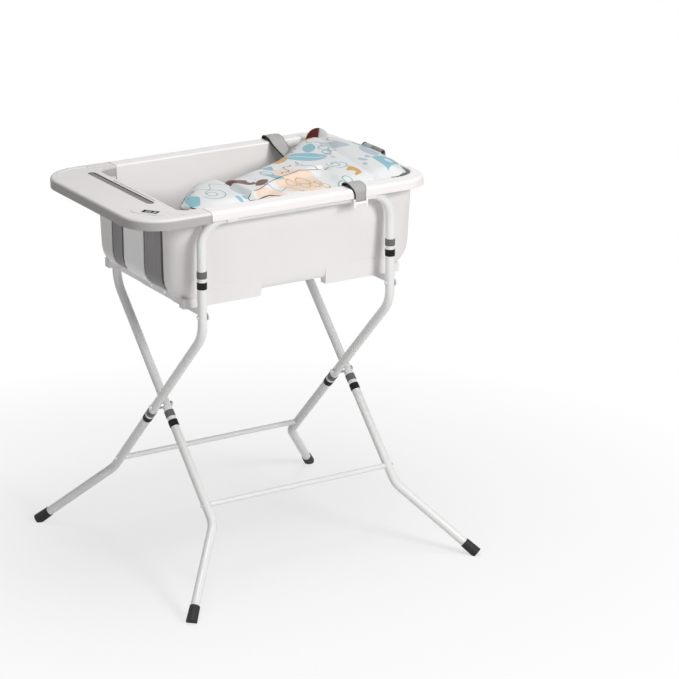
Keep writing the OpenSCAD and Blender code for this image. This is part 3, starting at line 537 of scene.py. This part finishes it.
def soften(item, degrees):
    """Shades facets as one surface, by corner normals averaged over places that touch."""
    mesh = item.data
    co = np.zeros(len(mesh.vertices) * 3)
    mesh.vertices.foreach_get("co", co)
    co = co.reshape(-1, 3)
    _, place = np.unique(np.round(co, 6), axis=0, return_inverse=True)
    place = place.reshape(-1)
    loops = np.zeros(len(mesh.loops), int)
    mesh.loops.foreach_get("vertex_index", loops)
    faces_at = {}
    normals, weights = [], []
    for poly in mesh.polygons:
        normals.append(np.array(poly.normal))
        weights.append(poly.area)
        for i in poly.loop_indices:
            faces_at.setdefault(place[loops[i]], []).append(poly.index)
    normals = np.array(normals)
    weights = np.array(weights)
    limit = math.cos(math.radians(degrees))
    out = np.zeros((len(mesh.loops), 3))
    for poly in mesh.polygons:
        own = normals[poly.index]
        for i in poly.loop_indices:
            near = faces_at[place[loops[i]]]
            keep = [f for f in near if normals[f] @ own > limit]
            total = (normals[keep] * weights[keep][:, None]).sum(0)
            size = np.linalg.norm(total)
            out[i] = total / size if size > 1e-12 else own
    shade(mesh)
    mesh.normals_split_custom_set([tuple(n) for n in out])


def tube_mesh(name, points, radius, paint):
    """A round cord along points, closed at both ends."""
    verts, faces = [], []
    count, sides = len(points), 8
    for i, p in enumerate(points):
        along = (points[min(count - 1, i + 1)] - points[max(0, i - 1)]).normalized()
        a = along.cross(Vector((0.0, 0.0, 1.0)))
        a = a.normalized() if a.length > 1e-6 else along.orthogonal().normalized()
        b = along.cross(a).normalized()
        for k in range(sides):
            t = math.tau * k / sides
            verts.append(p + radius * (math.cos(t) * a + math.sin(t) * b))
    for start in range(0, (count - 1) * sides, sides):
        for k in range(sides):
            here, near = start + k, start + (k + 1) % sides
            faces.append((here, near, near + sides, here + sides))
    faces.append(tuple(range(sides))[::-1])
    faces.append(tuple((count - 1) * sides + k for k in range(sides)))
    return new_object(name, verts, faces, [paint])


def rounded_path(points, radius, step):
    """Points along straight runs with rounded corners."""
    out = [points[0]]
    for i in range(1, len(points) - 1):
        a, b, c = points[i - 1], points[i], points[i + 1]
        reach = min(radius, (b - a).length * 0.49, (c - b).length * 0.49)
        start, end = b + (a - b).normalized() * reach, b + (c - b).normalized() * reach
        parts = max(3, int(reach * 1.6 / step))
        for k in range(parts + 1):
            t = k / parts
            out.append(start * (1 - t) ** 2 + b * 2 * t * (1 - t) + end * t * t)
    out.append(points[-1])
    return out


def dense(points, step):
    """The same run of points, with more of them about a step apart."""
    out = []
    for a, b in zip(points, points[1:]):
        parts = max(1, int((b - a).length / step))
        out += [a + (b - a) * (k / parts) for k in range(parts)]
    return out + [points[-1]]


def spans_along(points):
    """The length from the first point to each point."""
    spans = [0.0]
    for a, b in zip(points, points[1:]):
        spans.append(spans[-1] + (b - a).length)
    return spans


def band(name, centre, across_at, thickness, back):
    """A woven band along centre; across_at(t) is its half-width vector at share t of its length."""
    count, cols, crown = len(centre), 10, 0.0005
    spans = spans_along(centre)
    verts, faces, slots, uvs = [], [], [], []
    for i, p in enumerate(centre):
        t = spans[i] / spans[-1]
        half = across_at(t)
        before, after = centre[max(0, i - 1)], centre[min(count - 1, i + 1)]
        normal = half.cross(after - before).normalized()
        for layer in (1, 0, -1):
            for k in range(cols + 1):
                s = 2 * k / cols - 1
                lift = crown * (1 - s * s) if layer == 1 else 0.0
                verts.append(p + half * s + normal * (layer * thickness / 2 + lift))
                uvs.append(((s + 1) * half.length, spans[i]))
    row = 3 * (cols + 1)

    def quad(i, j, slot, flip=False):
        face = (i, i + row, j + row, j)
        faces.append(face[::-1] if flip else face)
        slots.append(slot)

    for i in range(count - 1):
        base = i * row
        for k in range(cols):
            quad(base + k, base + k + 1, 0)
            quad(base + 2 * (cols + 1) + k, base + 2 * (cols + 1) + k + 1, 1, True)
        for layer in (0, 1):
            a, b = base + layer * (cols + 1), base + (layer + 1) * (cols + 1)
            quad(a, b, 1, True)
            quad(a + cols, b + cols, 1)
    for base in (0, (count - 1) * row):
        for layer in (0, 1):
            for k in range(cols):
                a, b = base + layer * (cols + 1) + k, base + (layer + 1) * (cols + 1) + k
                faces.append((a, a + 1, b + 1, b) if base else (b, b + 1, a + 1, a))
                slots.append(layer)
    # Sides and underside take the back finish, near black on most bands: backing, and partly painted shadow
    # at the edges
    made = new_object(name, verts, faces, ["webbing", back], slots)
    layer = made.data.uv_layers.new(name="UVMap")
    for loop in made.data.loops:
        layer.data[loop.index].uv = uvs[loop.vertex_index]
    return made


def stitch_group():
    """Geometry nodes: short raised stitches at even steps along a line."""
    group = bpy.data.node_groups.new("Stitches", "GeometryNodeTree")
    sockets = group.interface
    sockets.new_socket("Line", in_out="INPUT", socket_type="NodeSocketGeometry")
    for name, value, low, high in (
        ("Spacing", 0.004, 0.001, 0.05),
        ("Stitch Length", 0.0026, 0.0005, 0.02),
        ("Thread", 0.0005, 0.0001, 0.003),
    ):
        made = sockets.new_socket(name, in_out="INPUT", socket_type="NodeSocketFloat")
        made.default_value, made.min_value, made.max_value = value, low, high
    sockets.new_socket("Finish", in_out="INPUT", socket_type="NodeSocketMaterial")
    sockets.new_socket("Stitches", in_out="OUTPUT", socket_type="NodeSocketGeometry")
    given = group.nodes.new("NodeGroupInput").outputs
    line, spacing, stitch, thread, finish = (Expr(group, socket) for socket in given[:5])

    def node(kind, inputs=None, **settings):
        return Expr(group, add_node(group, kind, inputs, **settings).outputs[0])

    curve = node("GeometryNodeMeshToCurve", {"Mesh": line})
    points = node("GeometryNodeResampleCurve", {"Curve": curve, "Length": spacing}, mode="LENGTH")
    bead = node("GeometryNodeMeshUVSphere", {"Segments": 8, "Rings": 6, "Radius": 0.5})
    tangent = node("GeometryNodeInputTangent")
    turn = node("FunctionNodeAlignRotationToVector", {"Vector": tangent}, axis="X")
    size = node("ShaderNodeCombineXYZ", {"X": stitch, "Y": thread, "Z": thread})
    inputs = {"Points": points, "Instance": bead, "Rotation": turn, "Scale": size}
    real = node("GeometryNodeRealizeInstances", {"Geometry": node("GeometryNodeInstanceOnPoints", inputs)})
    done = node("GeometryNodeSetMaterial", {"Geometry": real, "Material": finish})
    group.links.new(done.socket, group.nodes.new("NodeGroupOutput").inputs["Stitches"])
    return group


def stitches(name, lines, spacing, stitch, thread):
    """Runs the stitch nodes over lines and keeps the result as a plain mesh."""
    group = bpy.data.node_groups.get("Stitches") or stitch_group()
    verts, edges = [], []
    for line in lines:
        first = len(verts)
        verts += [tuple(p) for p in line]
        edges += [(first + k, first + k + 1) for k in range(len(line) - 1)]
    mesh = bpy.data.meshes.new(name + "_lines")
    mesh.from_pydata(verts, edges, [])
    source = add_object(name + "_lines", mesh)
    nodes = source.modifiers.new("Stitches", "NODES")
    nodes.node_group = group
    finish = PAINTS["thread"].material
    values = {"Spacing": spacing, "Stitch Length": stitch, "Thread": thread, "Finish": finish}
    for item in group.interface.items_tree:
        if item.item_type == "SOCKET" and item.in_out == "INPUT" and item.name in values:
            nodes[item.identifier] = values[item.name]
    bpy.context.view_layer.update()
    graph = bpy.context.evaluated_depsgraph_get()
    made = add_object(name, bpy.data.meshes.new_from_object(source.evaluated_get(graph)))
    bpy.data.objects.remove(source)
    if not made.data.materials:
        made.data.materials.append(finish)
    shade(made.data)
    return made


# Settings


class BathSettings(bpy.types.PropertyGroup):
    plastic_tone: bpy.props.FloatProperty(
        name="Bath Tone", description="Lightness of the bath's white plastic", default=0.85, min=0.2, max=1.0
    )
    facet_angle: bpy.props.FloatProperty(
        name="Facet Angle", description="Facets that meet at less than this are shaded as one surface",
        default=math.radians(42), subtype="ANGLE",
    )


class PadSettings(bpy.types.PropertyGroup):
    voxel: bpy.props.FloatProperty(
        name="Voxel", description="Mesh size before the cloth settles", default=0.006, unit="LENGTH"
    )
    pressure: bpy.props.FloatProperty(
        name="Pressure", description="How hard the filling pushes the cover out", default=4.0
    )
    swell: bpy.props.FloatProperty(
        name="Swell", description="Furthest that the cover may move out", default=0.007, unit="LENGTH"
    )
    steps: bpy.props.IntProperty(
        name="Steps", description="Frames for which the cover settles", default=20, min=1, max=60
    )


class StrapSettings(bpy.types.PropertyGroup):
    width: bpy.props.FloatProperty(
        name="Width", description="Width of the bands", default=0.040, unit="LENGTH"
    )
    thickness: bpy.props.FloatProperty(
        name="Thickness", description="Thickness of the bands", default=0.0016, unit="LENGTH"
    )
    clearance: bpy.props.FloatProperty(
        name="Clearance", description="Gap between a band and what it lies on", default=0.0003, unit="LENGTH"
    )


class StageSettings(bpy.types.PropertyGroup):
    target: bpy.props.FloatVectorProperty(
        name="Target", description="Point that the camera looks at",
        default=(0.1817, -0.1100, 0.5208), unit="LENGTH",
    )
    azimuth: bpy.props.FloatProperty(
        name="Azimuth", description="Camera's turn round the bath",
        default=math.radians(-31.197), subtype="ANGLE",
    )
    elevation: bpy.props.FloatProperty(
        name="Elevation", description="Camera's height above the horizon",
        default=math.radians(18.616), subtype="ANGLE",
    )
    distance: bpy.props.FloatProperty(
        name="Distance", description="Camera's distance from the target", default=7.1242, unit="LENGTH"
    )
    lens: bpy.props.FloatProperty(
        name="Lens", description="Focal length in millimetres", default=155.02
    )
    key: bpy.props.FloatProperty(
        name="Key Light", description="Power of the main lamp in watts", default=191.0
    )
    fill: bpy.props.FloatProperty(
        name="Fill Light", description="Power of the fill lamp in watts", default=30.0
    )
    top: bpy.props.FloatProperty(
        name="Top Light", description="Power of the overhead lamp in watts", default=63.0
    )
    inner: bpy.props.FloatProperty(
        name="Inner Light", description="Power of the lamp over the basin in watts", default=5.0
    )
    sky: bpy.props.FloatProperty(
        name="Sky", description="Brightness of the surroundings", default=0.08
    )


# Operators

# Nodes whose lofted facets are shaded as one surface
FACETED = (
    "basin_front_half", "basin_rear_half", "middle_panel", "front_soft_strip", "rear_soft_strip", "tray",
)


class BATH_OT_paint_frame(bpy.types.Operator):
    """Give every rigid piece its finish and smooth the moulded ones"""

    bl_idname = "bath.paint_frame"
    bl_label = "Paint Rigid Pieces"

    def execute(self, context):
        settings = context.scene.bath
        make_paints(settings)
        for row in frame["record"]["subparts"]:
            item = NODES[row["node"]]
            item.data.materials.clear()
            item.data.materials.append(PAINTS[row["material_slot"]].material)
        for name in FACETED:
            soften(NODES[name], math.degrees(settings.facet_angle))
        return {"FINISHED"}


# How the pad's cover behaves as cloth
CLOTH = {
    "use_pressure": True,
    "quality": 6,
    "tension_stiffness": 18,
    "compression_stiffness": 18,
    "bending_stiffness": 1.2,
    "mass": 0.3,
}


def settle(item, settings):
    """Swells a closed cover by cloth pressure and returns how far each point moved."""
    scene = bpy.context.scene
    start = [v.co.copy() for v in item.data.vertices]
    cloth = item.modifiers.new("Cloth", "CLOTH")
    for key, value in CLOTH.items():
        setattr(cloth.settings, key, value)
    cloth.settings.uniform_pressure_force = settings.pressure
    cloth.settings.effector_weights.gravity = 0.0
    cloth.collision_settings.use_collision = False
    cloth.point_cache.frame_start = 1
    cloth.point_cache.frame_end = settings.steps
    for step in range(1, settings.steps + 1):
        scene.frame_set(step)
    graph = bpy.context.evaluated_depsgraph_get()
    settled = item.evaluated_get(graph).to_mesh()
    moves = [b.co - a for a, b in zip(start, settled.vertices)]
    item.evaluated_get(graph).to_mesh_clear()
    item.modifiers.remove(cloth)
    scene.frame_set(1)
    return start, moves


def apply_all(item):
    """Turns the item's modifiers into its mesh."""
    graph = bpy.context.evaluated_depsgraph_get()
    mesh = bpy.data.meshes.new_from_object(item.evaluated_get(graph))
    item.modifiers.clear()
    old = item.data
    item.data = mesh
    bpy.data.meshes.remove(old)


def surface_of(item):
    """The item's faces as a tree that rays can be cast on."""
    points = [v.co.copy() for v in item.data.vertices]
    return BVHTree.FromPolygons(points, [tuple(p.vertices) for p in item.data.polygons])


def in_plan(line, height=0.0):
    """A line of x and y in millimetres as places at one height, in metres."""
    return [Vector((x / 1000, y / 1000, height)) for x, y in line]


DOWN = Vector((0, 0, -1))
# Height from which rays are cast down on the pad, and the lowest point that shows over the rim
OVER_PAD, OVER_RIM = 1.2, 0.9
# Sewn lines on the pad in plan, millimetres: the fold between lobe and body, and the head's seam
PAD_SEAMS = (
    ((-70, 42), (-80, -15), (-93, -150), (-98, -215)),
    ((296, 205), (285, 160), (262, 60), (248, -10), (240, -90), (236, -150), (232, -214)),
)
# How deep and how wide each of them sinks into the cover, metres
SEAM_DEPTHS = (0.021, 0.005)
SEAM_WIDTHS = (0.010, 0.007)
# The near side hangs between the fold and the strap, under this line
SAG_LINE = ((-92, -150), (-26, -115), (35, -82), (105, -56), (150, -78), (164, -118), (156, -180))
SAG, SAG_WIDTH, SAG_END = 0.013, 0.014, 0.166
# The near piping ends before the front strap
PIPING_END = 0.19


class BATH_OT_make_pad(bpy.types.Operator):
    """Sew the bath pad: a swollen cover with its fold, its seams and a bound edge"""

    bl_idname = "bath.make_pad"
    bl_label = "Make Pad"

    def execute(self, context):
        settings = context.scene.bath_pad
        item = add_object("pad_cover", NODES["bath_pad"].data.copy())
        bm = bmesh.new()
        bm.from_mesh(item.data)
        bmesh.ops.remove_doubles(bm, verts=bm.verts, dist=1e-5)
        bm.to_mesh(item.data)
        bm.free()
        rim = self.edge_points(item.data)
        remesh = item.modifiers.new("Remesh", "REMESH")
        remesh.mode = "VOXEL"
        remesh.voxel_size = settings.voxel
        apply_all(item)
        item.data.materials.clear()
        item.data.materials.append(PAINTS["pad_fabric"].material)
        start, moves = settle(item, settings)
        for v, a, move in zip(item.data.vertices, start, moves):
            up = max(0.0, min(1.0, v.normal.z * 1.5 + 0.35))
            size = min(move.length, settings.swell * up)
            v.co = a + (move.normalized() * size if size > 0 else move * 0)
        self.sink_seams(item.data)
        smooth = item.modifiers.new("Smooth", "SMOOTH")
        smooth.factor = 0.4
        smooth.iterations = 2
        subdivide = item.modifiers.new("Subdivision", "SUBSURF")
        subdivide.levels = subdivide.render_levels = 1
        apply_all(item)
        shade(item.data)
        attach(item, "bath")
        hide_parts("bath_pad")
        self.sew_lines(item)
        self.bind_edge(item, rim)
        return {"FINISHED"}

    def seam_points(self):
        """Each seam in plan, as close points along rounded corners."""
        for seam in PAD_SEAMS:
            yield dense(rounded_path(in_plan(seam), 0.05, 0.006), 0.004)

    def sink_seams(self, mesh):
        """Draws the cover in along its seams, and lets its near side sag."""
        lines = [np.array([p[:2] for p in seam]) for seam in self.seam_points()]
        sag = np.array(SAG_LINE) / 1000
        border = dense(rounded_path(in_plan(SAG_LINE), 0.04, 0.006), 0.004)
        border = np.array([p[:2] for p in border])
        for v in mesh.vertices:
            if v.normal.z < 0.05:
                continue
            here = np.array(v.co[:2])
            for line, depth, width in zip(lines, SEAM_DEPTHS, SEAM_WIDTHS):
                gap = np.sqrt(((line - here) ** 2).sum(1)).min()
                v.co.z -= depth * math.exp(-((gap / width) ** 2))
            if sag[0, 0] < v.co.x < SAG_END and v.co.y < np.interp(v.co.x, sag[:4, 0], sag[:4, 1]):
                gap = np.sqrt(((border - here) ** 2).sum(1)).min()
                v.co.z -= SAG * (1 - math.exp(-((gap / SAG_WIDTH) ** 2)))

    def edge_points(self, mesh):
        """The far and the near edge of the pad, from its left end to its right end."""
        sides = []
        for sign in (1, -1):
            best = {}
            for v in mesh.vertices:
                key = round(v.co.x, 4)
                if key not in best or sign * v.co.y > sign * best[key].y:
                    best[key] = v.co.copy()
            line = [best[key] for key in sorted(best)]
            sides.append([p for p in line if abs(p.y) > 0.05 and not (sign > 0 and 0.25 < p.x < 0.33)])
        return sides

    def bind_edge(self, item, sides):
        """Lays a thin piping along the cover's edges, and dark cords as painted shade in its fold and along
        the edge of its sagging side.
        """
        surface = surface_of(item)
        for name, line, sign in (("pad_piping_far", sides[0], 1), ("pad_piping_near", sides[1], -1)):
            path = []
            for p in line:
                if sign < 0 and p.x > PIPING_END:
                    break
                start = Vector((p.x, p.y + sign * 0.03, p.z + 0.004))
                hit = surface.ray_cast(start, Vector((0, -sign, 0)))[0]
                if hit and (not path or 0.008 < (hit - path[-1]).length < 0.08):
                    path.append(hit)
            self.lay_cord(name, path, 0.0017)
        # Dark cords that paint the shade in the fold and along the sagging side's edge
        for name, line, radius in (("fold_cord", PAD_SEAMS[0], 0.0016), ("side_cord", SAG_LINE[:5], 0.0009)):
            hits = [surface.ray_cast(p, DOWN)[0] for p in dense(in_plan(line, OVER_PAD), 0.01)]
            self.lay_cord(name, [hit for hit in hits if hit and hit.z > OVER_RIM], radius)

    def lay_cord(self, name, path, radius):
        """Sews a thin round cord along a path, as piping or as painted shade in a fold."""
        made = tube_mesh(name, dense(rounded_path(path, 0.006, 0.003), 0.004), radius, "pad_binding")
        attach(made, "bath")

    def sew_lines(self, item):
        """Runs two rows of stitches along each seam."""
        surface = surface_of(item)
        rows = []
        for seam in self.seam_points():
            for shift in (-0.0016, 0.0016):
                row = []
                for p in seam:
                    hit, normal, _, _ = surface.ray_cast(Vector((p.x + shift, p.y, OVER_PAD)), DOWN)
                    if hit:
                        row.append(hit + normal * 0.0001)
                if len(row) > 2:
                    rows.append(row)
        made = stitches("pad_stitches", rows, 0.0045, 0.003, 0.0008)
        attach(made, "bath")


class BATH_OT_make_ear(bpy.types.Operator):
    """Sew the flap that stands on the pad's far corner, in two colours"""

    bl_idname = "bath.make_ear"
    bl_label = "Make Ear Flap"

    def execute(self, context):
        base, turn, lean = Vector((0.286, 0.166, 0.940)), math.radians(-61), math.radians(12)
        radius, thick, hollow = 0.036, 0.0042, 0.006
        rings, spokes = 10, 14
        upright = Matrix.Rotation(math.radians(90) - lean, 4, "X")
        place = Matrix.Translation(base) @ Matrix.Rotation(turn, 4, "Z") @ upright
        row = spokes + 1
        outer, half = rings * row, (rings + 1) * row
        for name, start, paint in (("ear_dark", 90, "ear_fabric"), ("ear_pale", 0, "ear_light")):
            verts, faces = [], []
            for side in (1, -1):
                for i in range(rings + 1):
                    r = math.sin(math.pi / 2 * i / rings)
                    for k in range(spokes + 1):
                        a = math.radians(start + 90 * k / spokes)
                        full = 0.55 + 0.45 * abs(math.cos(a)) ** 0.3
                        puff = thick * math.sqrt(max(0.0, 1 - r**4)) * full
                        x, y = radius * r * math.cos(a), radius * r * math.sin(a)
                        verts.append(place @ Vector((x, y - hollow * (1 - r), side * puff)))
            for i in range(0, outer, row):
                for k in range(spokes):
                    a = i + k
                    faces.append((a, a + 1, a + row + 1, a + row))
                    faces.append((half + a, half + a + row, half + a + row + 1, half + a + 1))
            for a in range(0, outer, row):
                b = a + row
                faces.append((a, b, half + b, half + a))
                faces.append((a + spokes, half + a + spokes, half + b + spokes, b + spokes))
            for a in range(outer, outer + spokes):
                faces.append((a, a + 1, half + a + 1, half + a))
            made = new_object(name, verts, faces, [paint])
            turn_outwards(made.data, merge=1e-5)
            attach(made, "bath")
            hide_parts("pad_ear")
        return {"FINISHED"}


class BATH_OT_make_straps(bpy.types.Operator):
    """Lay the woven bands over the rim from the pad to their clips"""

    bl_idname = "bath.make_straps"
    bl_label = "Make Straps"

    def execute(self, context):
        settings = context.scene.bath_strap
        t = settings.thickness
        tail = 0.9146
        out = 0.264 + settings.clearance + t / 2
        end = 0.357 + settings.clearance + t / 2
        half, narrow = settings.width / 2, 0.0145
        # Shares of a band's length: where it starts to narrow, over how much, and how far its slant goes
        shoulder, shoulder_span, slant_span = 0.62, 0.2, 0.3
        # How far the seams lie over the band
        proud = 0.0003

        def strap(name, node, line, sideways, wide, slant=(0.0, 0.0), piped=1, back="strap_back"):
            """One band; its start may be cut at a slant, and it narrows to its tongue."""

            def across(share):
                k = max(0.0, min(1.0, (share - shoulder) / shoulder_span))
                begin = max(0.0, 1.0 - share / slant_span)
                width = wide * (1 - k) + narrow * k
                return Vector((sideways[0] * width, sideways[1] * width + slant[0] * begin, slant[1] * begin))

            line = dense(rounded_path(line, 0.009, 0.0014), 0.004)
            made = band(name, line, across, t, back)
            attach(made, "bath")
            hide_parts(node)
            spans = spans_along(line)
            shares = [span / spans[-1] for span in spans]
            edge = [p + across(share) * piped for p, share in zip(line, shares)]
            # A near black cord along one edge: partly painted shadow where the band stands off what it lies
            # on
            edge_cord_and_shadow = tube_mesh(name + "_edge", edge, 0.0019, "strap_back")
            rows = [[], []]
            for i in range(1, len(line) - 1):
                up = across(shares[i]).cross(line[i + 1] - line[i - 1]).normalized()
                for row, side in zip(rows, (-0.8, 0.8)):
                    row.append(line[i] + across(shares[i]) * side + up * (t / 2 + proud))
            seams = stitches(name + "_seams", rows, 0.0034, 0.0022, 0.0006)
            for extra in (edge_cord_and_shadow, seams):
                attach(extra, "bath")

        front = (
            (0.2085, 0.9290), (0.2140, 0.9400), (0.2190, 0.9500), (0.2310, 0.9530), (0.2460, 0.9515),
            (0.2590, 0.9462), (out, 0.9380), (out, tail),
        )
        strap("front_band", "front_strap", [Vector((0.145, -y, z)) for y, z in front], (-1, 0), half)
        rear = (
            (0.1655, 0.9262), (0.2040, 0.9390), (0.2210, 0.9500), (0.2400, 0.9540), (0.2570, 0.9515),
            (out, 0.9420), (out, tail),
        )
        strap(
            "rear_band", "rear_strap", [Vector((0.198, y, z)) for y, z in rear], (1, 0), half,
            slant=(0.0178, 0.0058), piped=-1,
        )
        last = ((0.3420, 0.9500), (0.3490, 0.9575), (0.3560, 0.9565), (end, 0.9500), (end, tail))
        strap(
            "end_band", "end_strap", [Vector((x, 0.008, z)) for x, z in last], (0, -1), 0.0420,
            piped=-1, back="webbing",
        )
        return {"FINISHED"}


# The lit bars of each digit that is shown
SEGMENTS = {"3": "abgcd", "6": "acdefg", "8": "abcdefg"}


class BATH_OT_make_display(bpy.types.Operator):
    """Set plain seven-segment digits on the thermometer's display"""

    bl_idname = "bath.make_display"
    bl_label = "Make Display Digits"

    def execute(self, context):
        _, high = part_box("thermometer_display")
        middle = Matrix.Translation(Vector((-0.3645, -0.180, high.z)))
        turn = middle @ Matrix.Rotation(math.radians(-55), 4, "Z")
        verts, faces = [], []

        def bar(cx, cy, w, h):
            first = len(verts)
            for z in (-0.0002, 0.00015):
                for x, y in ((-1, -1), (1, -1), (1, 1), (-1, 1)):
                    verts.append(turn @ Vector((cx + x * w / 2, cy + y * h / 2, z)))
            for face in ((3, 2, 1, 0), (4, 5, 6, 7), (0, 1, 5, 4), (1, 2, 6, 5), (2, 3, 7, 6), (3, 0, 4, 7)):
                faces.append(tuple(first + k for k in face))

        w, h, t = 0.0056, 0.0100, 0.0011
        pitch, gap = 0.0098, 0.0007
        for index, digit in enumerate("368"):
            cx = (index - 1) * pitch + (2 * gap if index == 2 else -gap)
            places = {
                "a": (0, h / 2, w, t), "g": (0, 0, w, t), "d": (0, -h / 2, w, t),
                "f": (-w / 2, h / 4, t, h / 2), "b": (w / 2, h / 4, t, h / 2),
                "e": (-w / 2, -h / 4, t, h / 2), "c": (w / 2, -h / 4, t, h / 2),
            }
            for key in SEGMENTS[digit]:
                x, y, a, b = places[key]
                bar(cx + x, y, a, b)
        bar(0.0058, -h / 2, t, t)
        made = new_object("display_digits", verts, faces, ["digits"], smooth=False)
        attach(made, "clip_on_tray")
        return {"FINISHED"}


def backdrop_rays(tree):
    """1 for the rays that show the backdrop: the camera's own, mirrored ones and those through glass."""
    path = add_node(tree, "ShaderNodeLightPath")
    kinds = ("Is Camera Ray", "Is Glossy Ray", "Is Transmission Ray")
    camera, mirrored, through = (Expr(tree, path.outputs[kind]) for kind in kinds)
    return camera.max(mirrored).max(through)


WHITE = (1.0, 1.0, 1.0, 1.0)
FLOOR_REACH = 60.0
# Each lamp's power setting, then its size, place and target in metres
LAMPS = (
    ("key", 1.6, (1.3, -5.2, 3.3), (0.0, 0.0, 0.75)),
    ("fill", 2.0, (-4.2, -2.4, 2.2), (0.0, 0.0, 0.6)),
    ("top", 2.2, (0.2, -0.4, 4.3), (0.0, 0.0, 0.8)),
    ("inner", 0.6, (-0.25, -0.8, 2.3), (0.05, 0.2, 0.85)),
)


class BATH_OT_make_stage(bpy.types.Operator):
    """Set the floor, the surroundings, the lamps and the camera"""

    bl_idname = "bath.make_stage"
    bl_label = "Make Stage"

    def execute(self, context):
        scene, settings = context.scene, context.scene.bath_stage
        floor = bpy.data.meshes.new("floor")
        corners = ((-1, -1), (1, -1), (1, 1), (-1, 1))
        floor.from_pydata([(x * FLOOR_REACH, y * FLOOR_REACH, 0) for x, y in corners], [], [(0, 1, 2, 3)])
        ground = add_object("floor", floor)
        ground.location.z = -0.0005
        paint = Paint("floor", (0.93, 0.93, 0.93), 0.9, Specular_IOR_Level=0.1)
        paint.feed("Base Color", paint.mix(paint.noise(0.6), [0.925] * 3, [0.935] * 3))
        self.fade(paint)
        floor.materials.append(paint.material)
        self.world(scene, settings)
        for name, size, place, target in LAMPS:
            self.lamp(name, getattr(settings, name), size, place, target)
        camera = add_object("camera", bpy.data.cameras.new("camera"))
        a, e = settings.azimuth, settings.elevation
        back = Vector((math.sin(a) * math.cos(e), -math.cos(a) * math.cos(e), math.sin(e)))
        camera.location = Vector(settings.target) + back * settings.distance
        camera.rotation_euler = (-back).to_track_quat("-Z", "Y").to_euler()
        camera.data.lens = settings.lens
        camera.data.sensor_width = 36.0
        camera.data.clip_end = 200.0
        scene.camera = camera
        scene.render.engine = "CYCLES"
        scene.view_settings.view_transform = "Standard"
        return {"FINISHED"}

    def fade(self, paint):
        """Lets the floor turn into the plain backdrop away from the object, keeping its shadow near it."""
        x, y, _ = paint.axes()
        far = ((length(x, y) * 1.1 - 0.55).clamp() * 0.34 + 0.66) * backdrop_rays(paint.tree)
        glow = paint.node("ShaderNodeEmission", 0, {"Color": WHITE, "Strength": 1.0})
        shader = Expr(paint.tree, paint.shader.outputs[0])
        blend = paint.node("ShaderNodeMixShader", 0, {0: far, 1: shader, 2: glow})
        paint.tree.links.new(blend.socket, paint.tree.nodes["Material Output"].inputs[0])

    def world(self, scene, settings):
        """A faint, even light from all round, with a white backdrop behind the object."""
        sky = bpy.data.worlds.new("sky")
        scene.world = sky
        sky.use_nodes = True
        tree = sky.node_tree
        tree.nodes.clear()
        plain = add_node(tree, "ShaderNodeBackground", {0: WHITE})
        lit = add_node(tree, "ShaderNodeBackground", {0: (1.0, 0.992, 0.985, 1.0), 1: settings.sky})
        ends = {0: backdrop_rays(tree), 1: Expr(tree, lit.outputs[0]), 2: Expr(tree, plain.outputs[0])}
        blend = add_node(tree, "ShaderNodeMixShader", ends)
        add_node(tree, "ShaderNodeOutputWorld", {0: Expr(tree, blend.outputs[0])})

    def lamp(self, name, power, size, place, target):
        data = bpy.data.lights.new(name, "AREA")
        data.energy, data.size = power, size
        made = add_object(name, data)
        made.location = place
        made.rotation_euler = (Vector(target) - Vector(place)).to_track_quat("-Z", "Y").to_euler()


class BATH_PT_panel(bpy.types.Panel):
    """The bath's pieces, in the order in which they are made"""

    bl_idname = "BATH_PT_panel"
    bl_label = "Baby Bath"
    bl_space_type = "VIEW_3D"
    bl_region_type = "UI"
    bl_category = "Baby Bath"

    def draw(self, context):
        layout, scene = self.layout, context.scene
        for owner, names in (
            (scene.bath, ("plastic_tone", "facet_angle")),
            (scene.bath_pad, ("voxel", "pressure", "swell", "steps")),
            (scene.bath_strap, ("width", "thickness", "clearance")),
            (scene.bath_stage, ("azimuth", "elevation", "distance", "lens")),
            (scene.bath_stage, ("key", "fill", "top", "inner", "sky")),
        ):
            box = layout.box()
            for name in names:
                box.prop(owner, name)
        for operator in OPERATORS:
            layout.operator(operator.bl_idname)


OPERATORS = (
    BATH_OT_paint_frame,
    BATH_OT_make_pad,
    BATH_OT_make_ear,
    BATH_OT_make_straps,
    BATH_OT_make_display,
    BATH_OT_make_stage,
)
GROUPS = (
    ("bath", BathSettings),
    ("bath_pad", PadSettings),
    ("bath_strap", StrapSettings),
    ("bath_stage", StageSettings),
)


def register():
    for name, group in GROUPS:
        bpy.utils.register_class(group)
        setattr(bpy.types.Scene, name, bpy.props.PointerProperty(type=group))
    for operator in OPERATORS:
        bpy.utils.register_class(operator)
    bpy.utils.register_class(BATH_PT_panel)


def unregister():
    bpy.utils.unregister_class(BATH_PT_panel)
    for operator in reversed(OPERATORS):
        bpy.utils.unregister_class(operator)
    for name, group in reversed(GROUPS):
        delattr(bpy.types.Scene, name)
        bpy.utils.unregister_class(group)


def main():
    register()
    bpy.ops.bath.paint_frame()
    bpy.ops.bath.make_pad()
    bpy.ops.bath.make_ear()
    bpy.ops.bath.make_straps()
    bpy.ops.bath.make_display()
    bpy.ops.bath.make_stage()


if __name__ == "__main__":
    main()
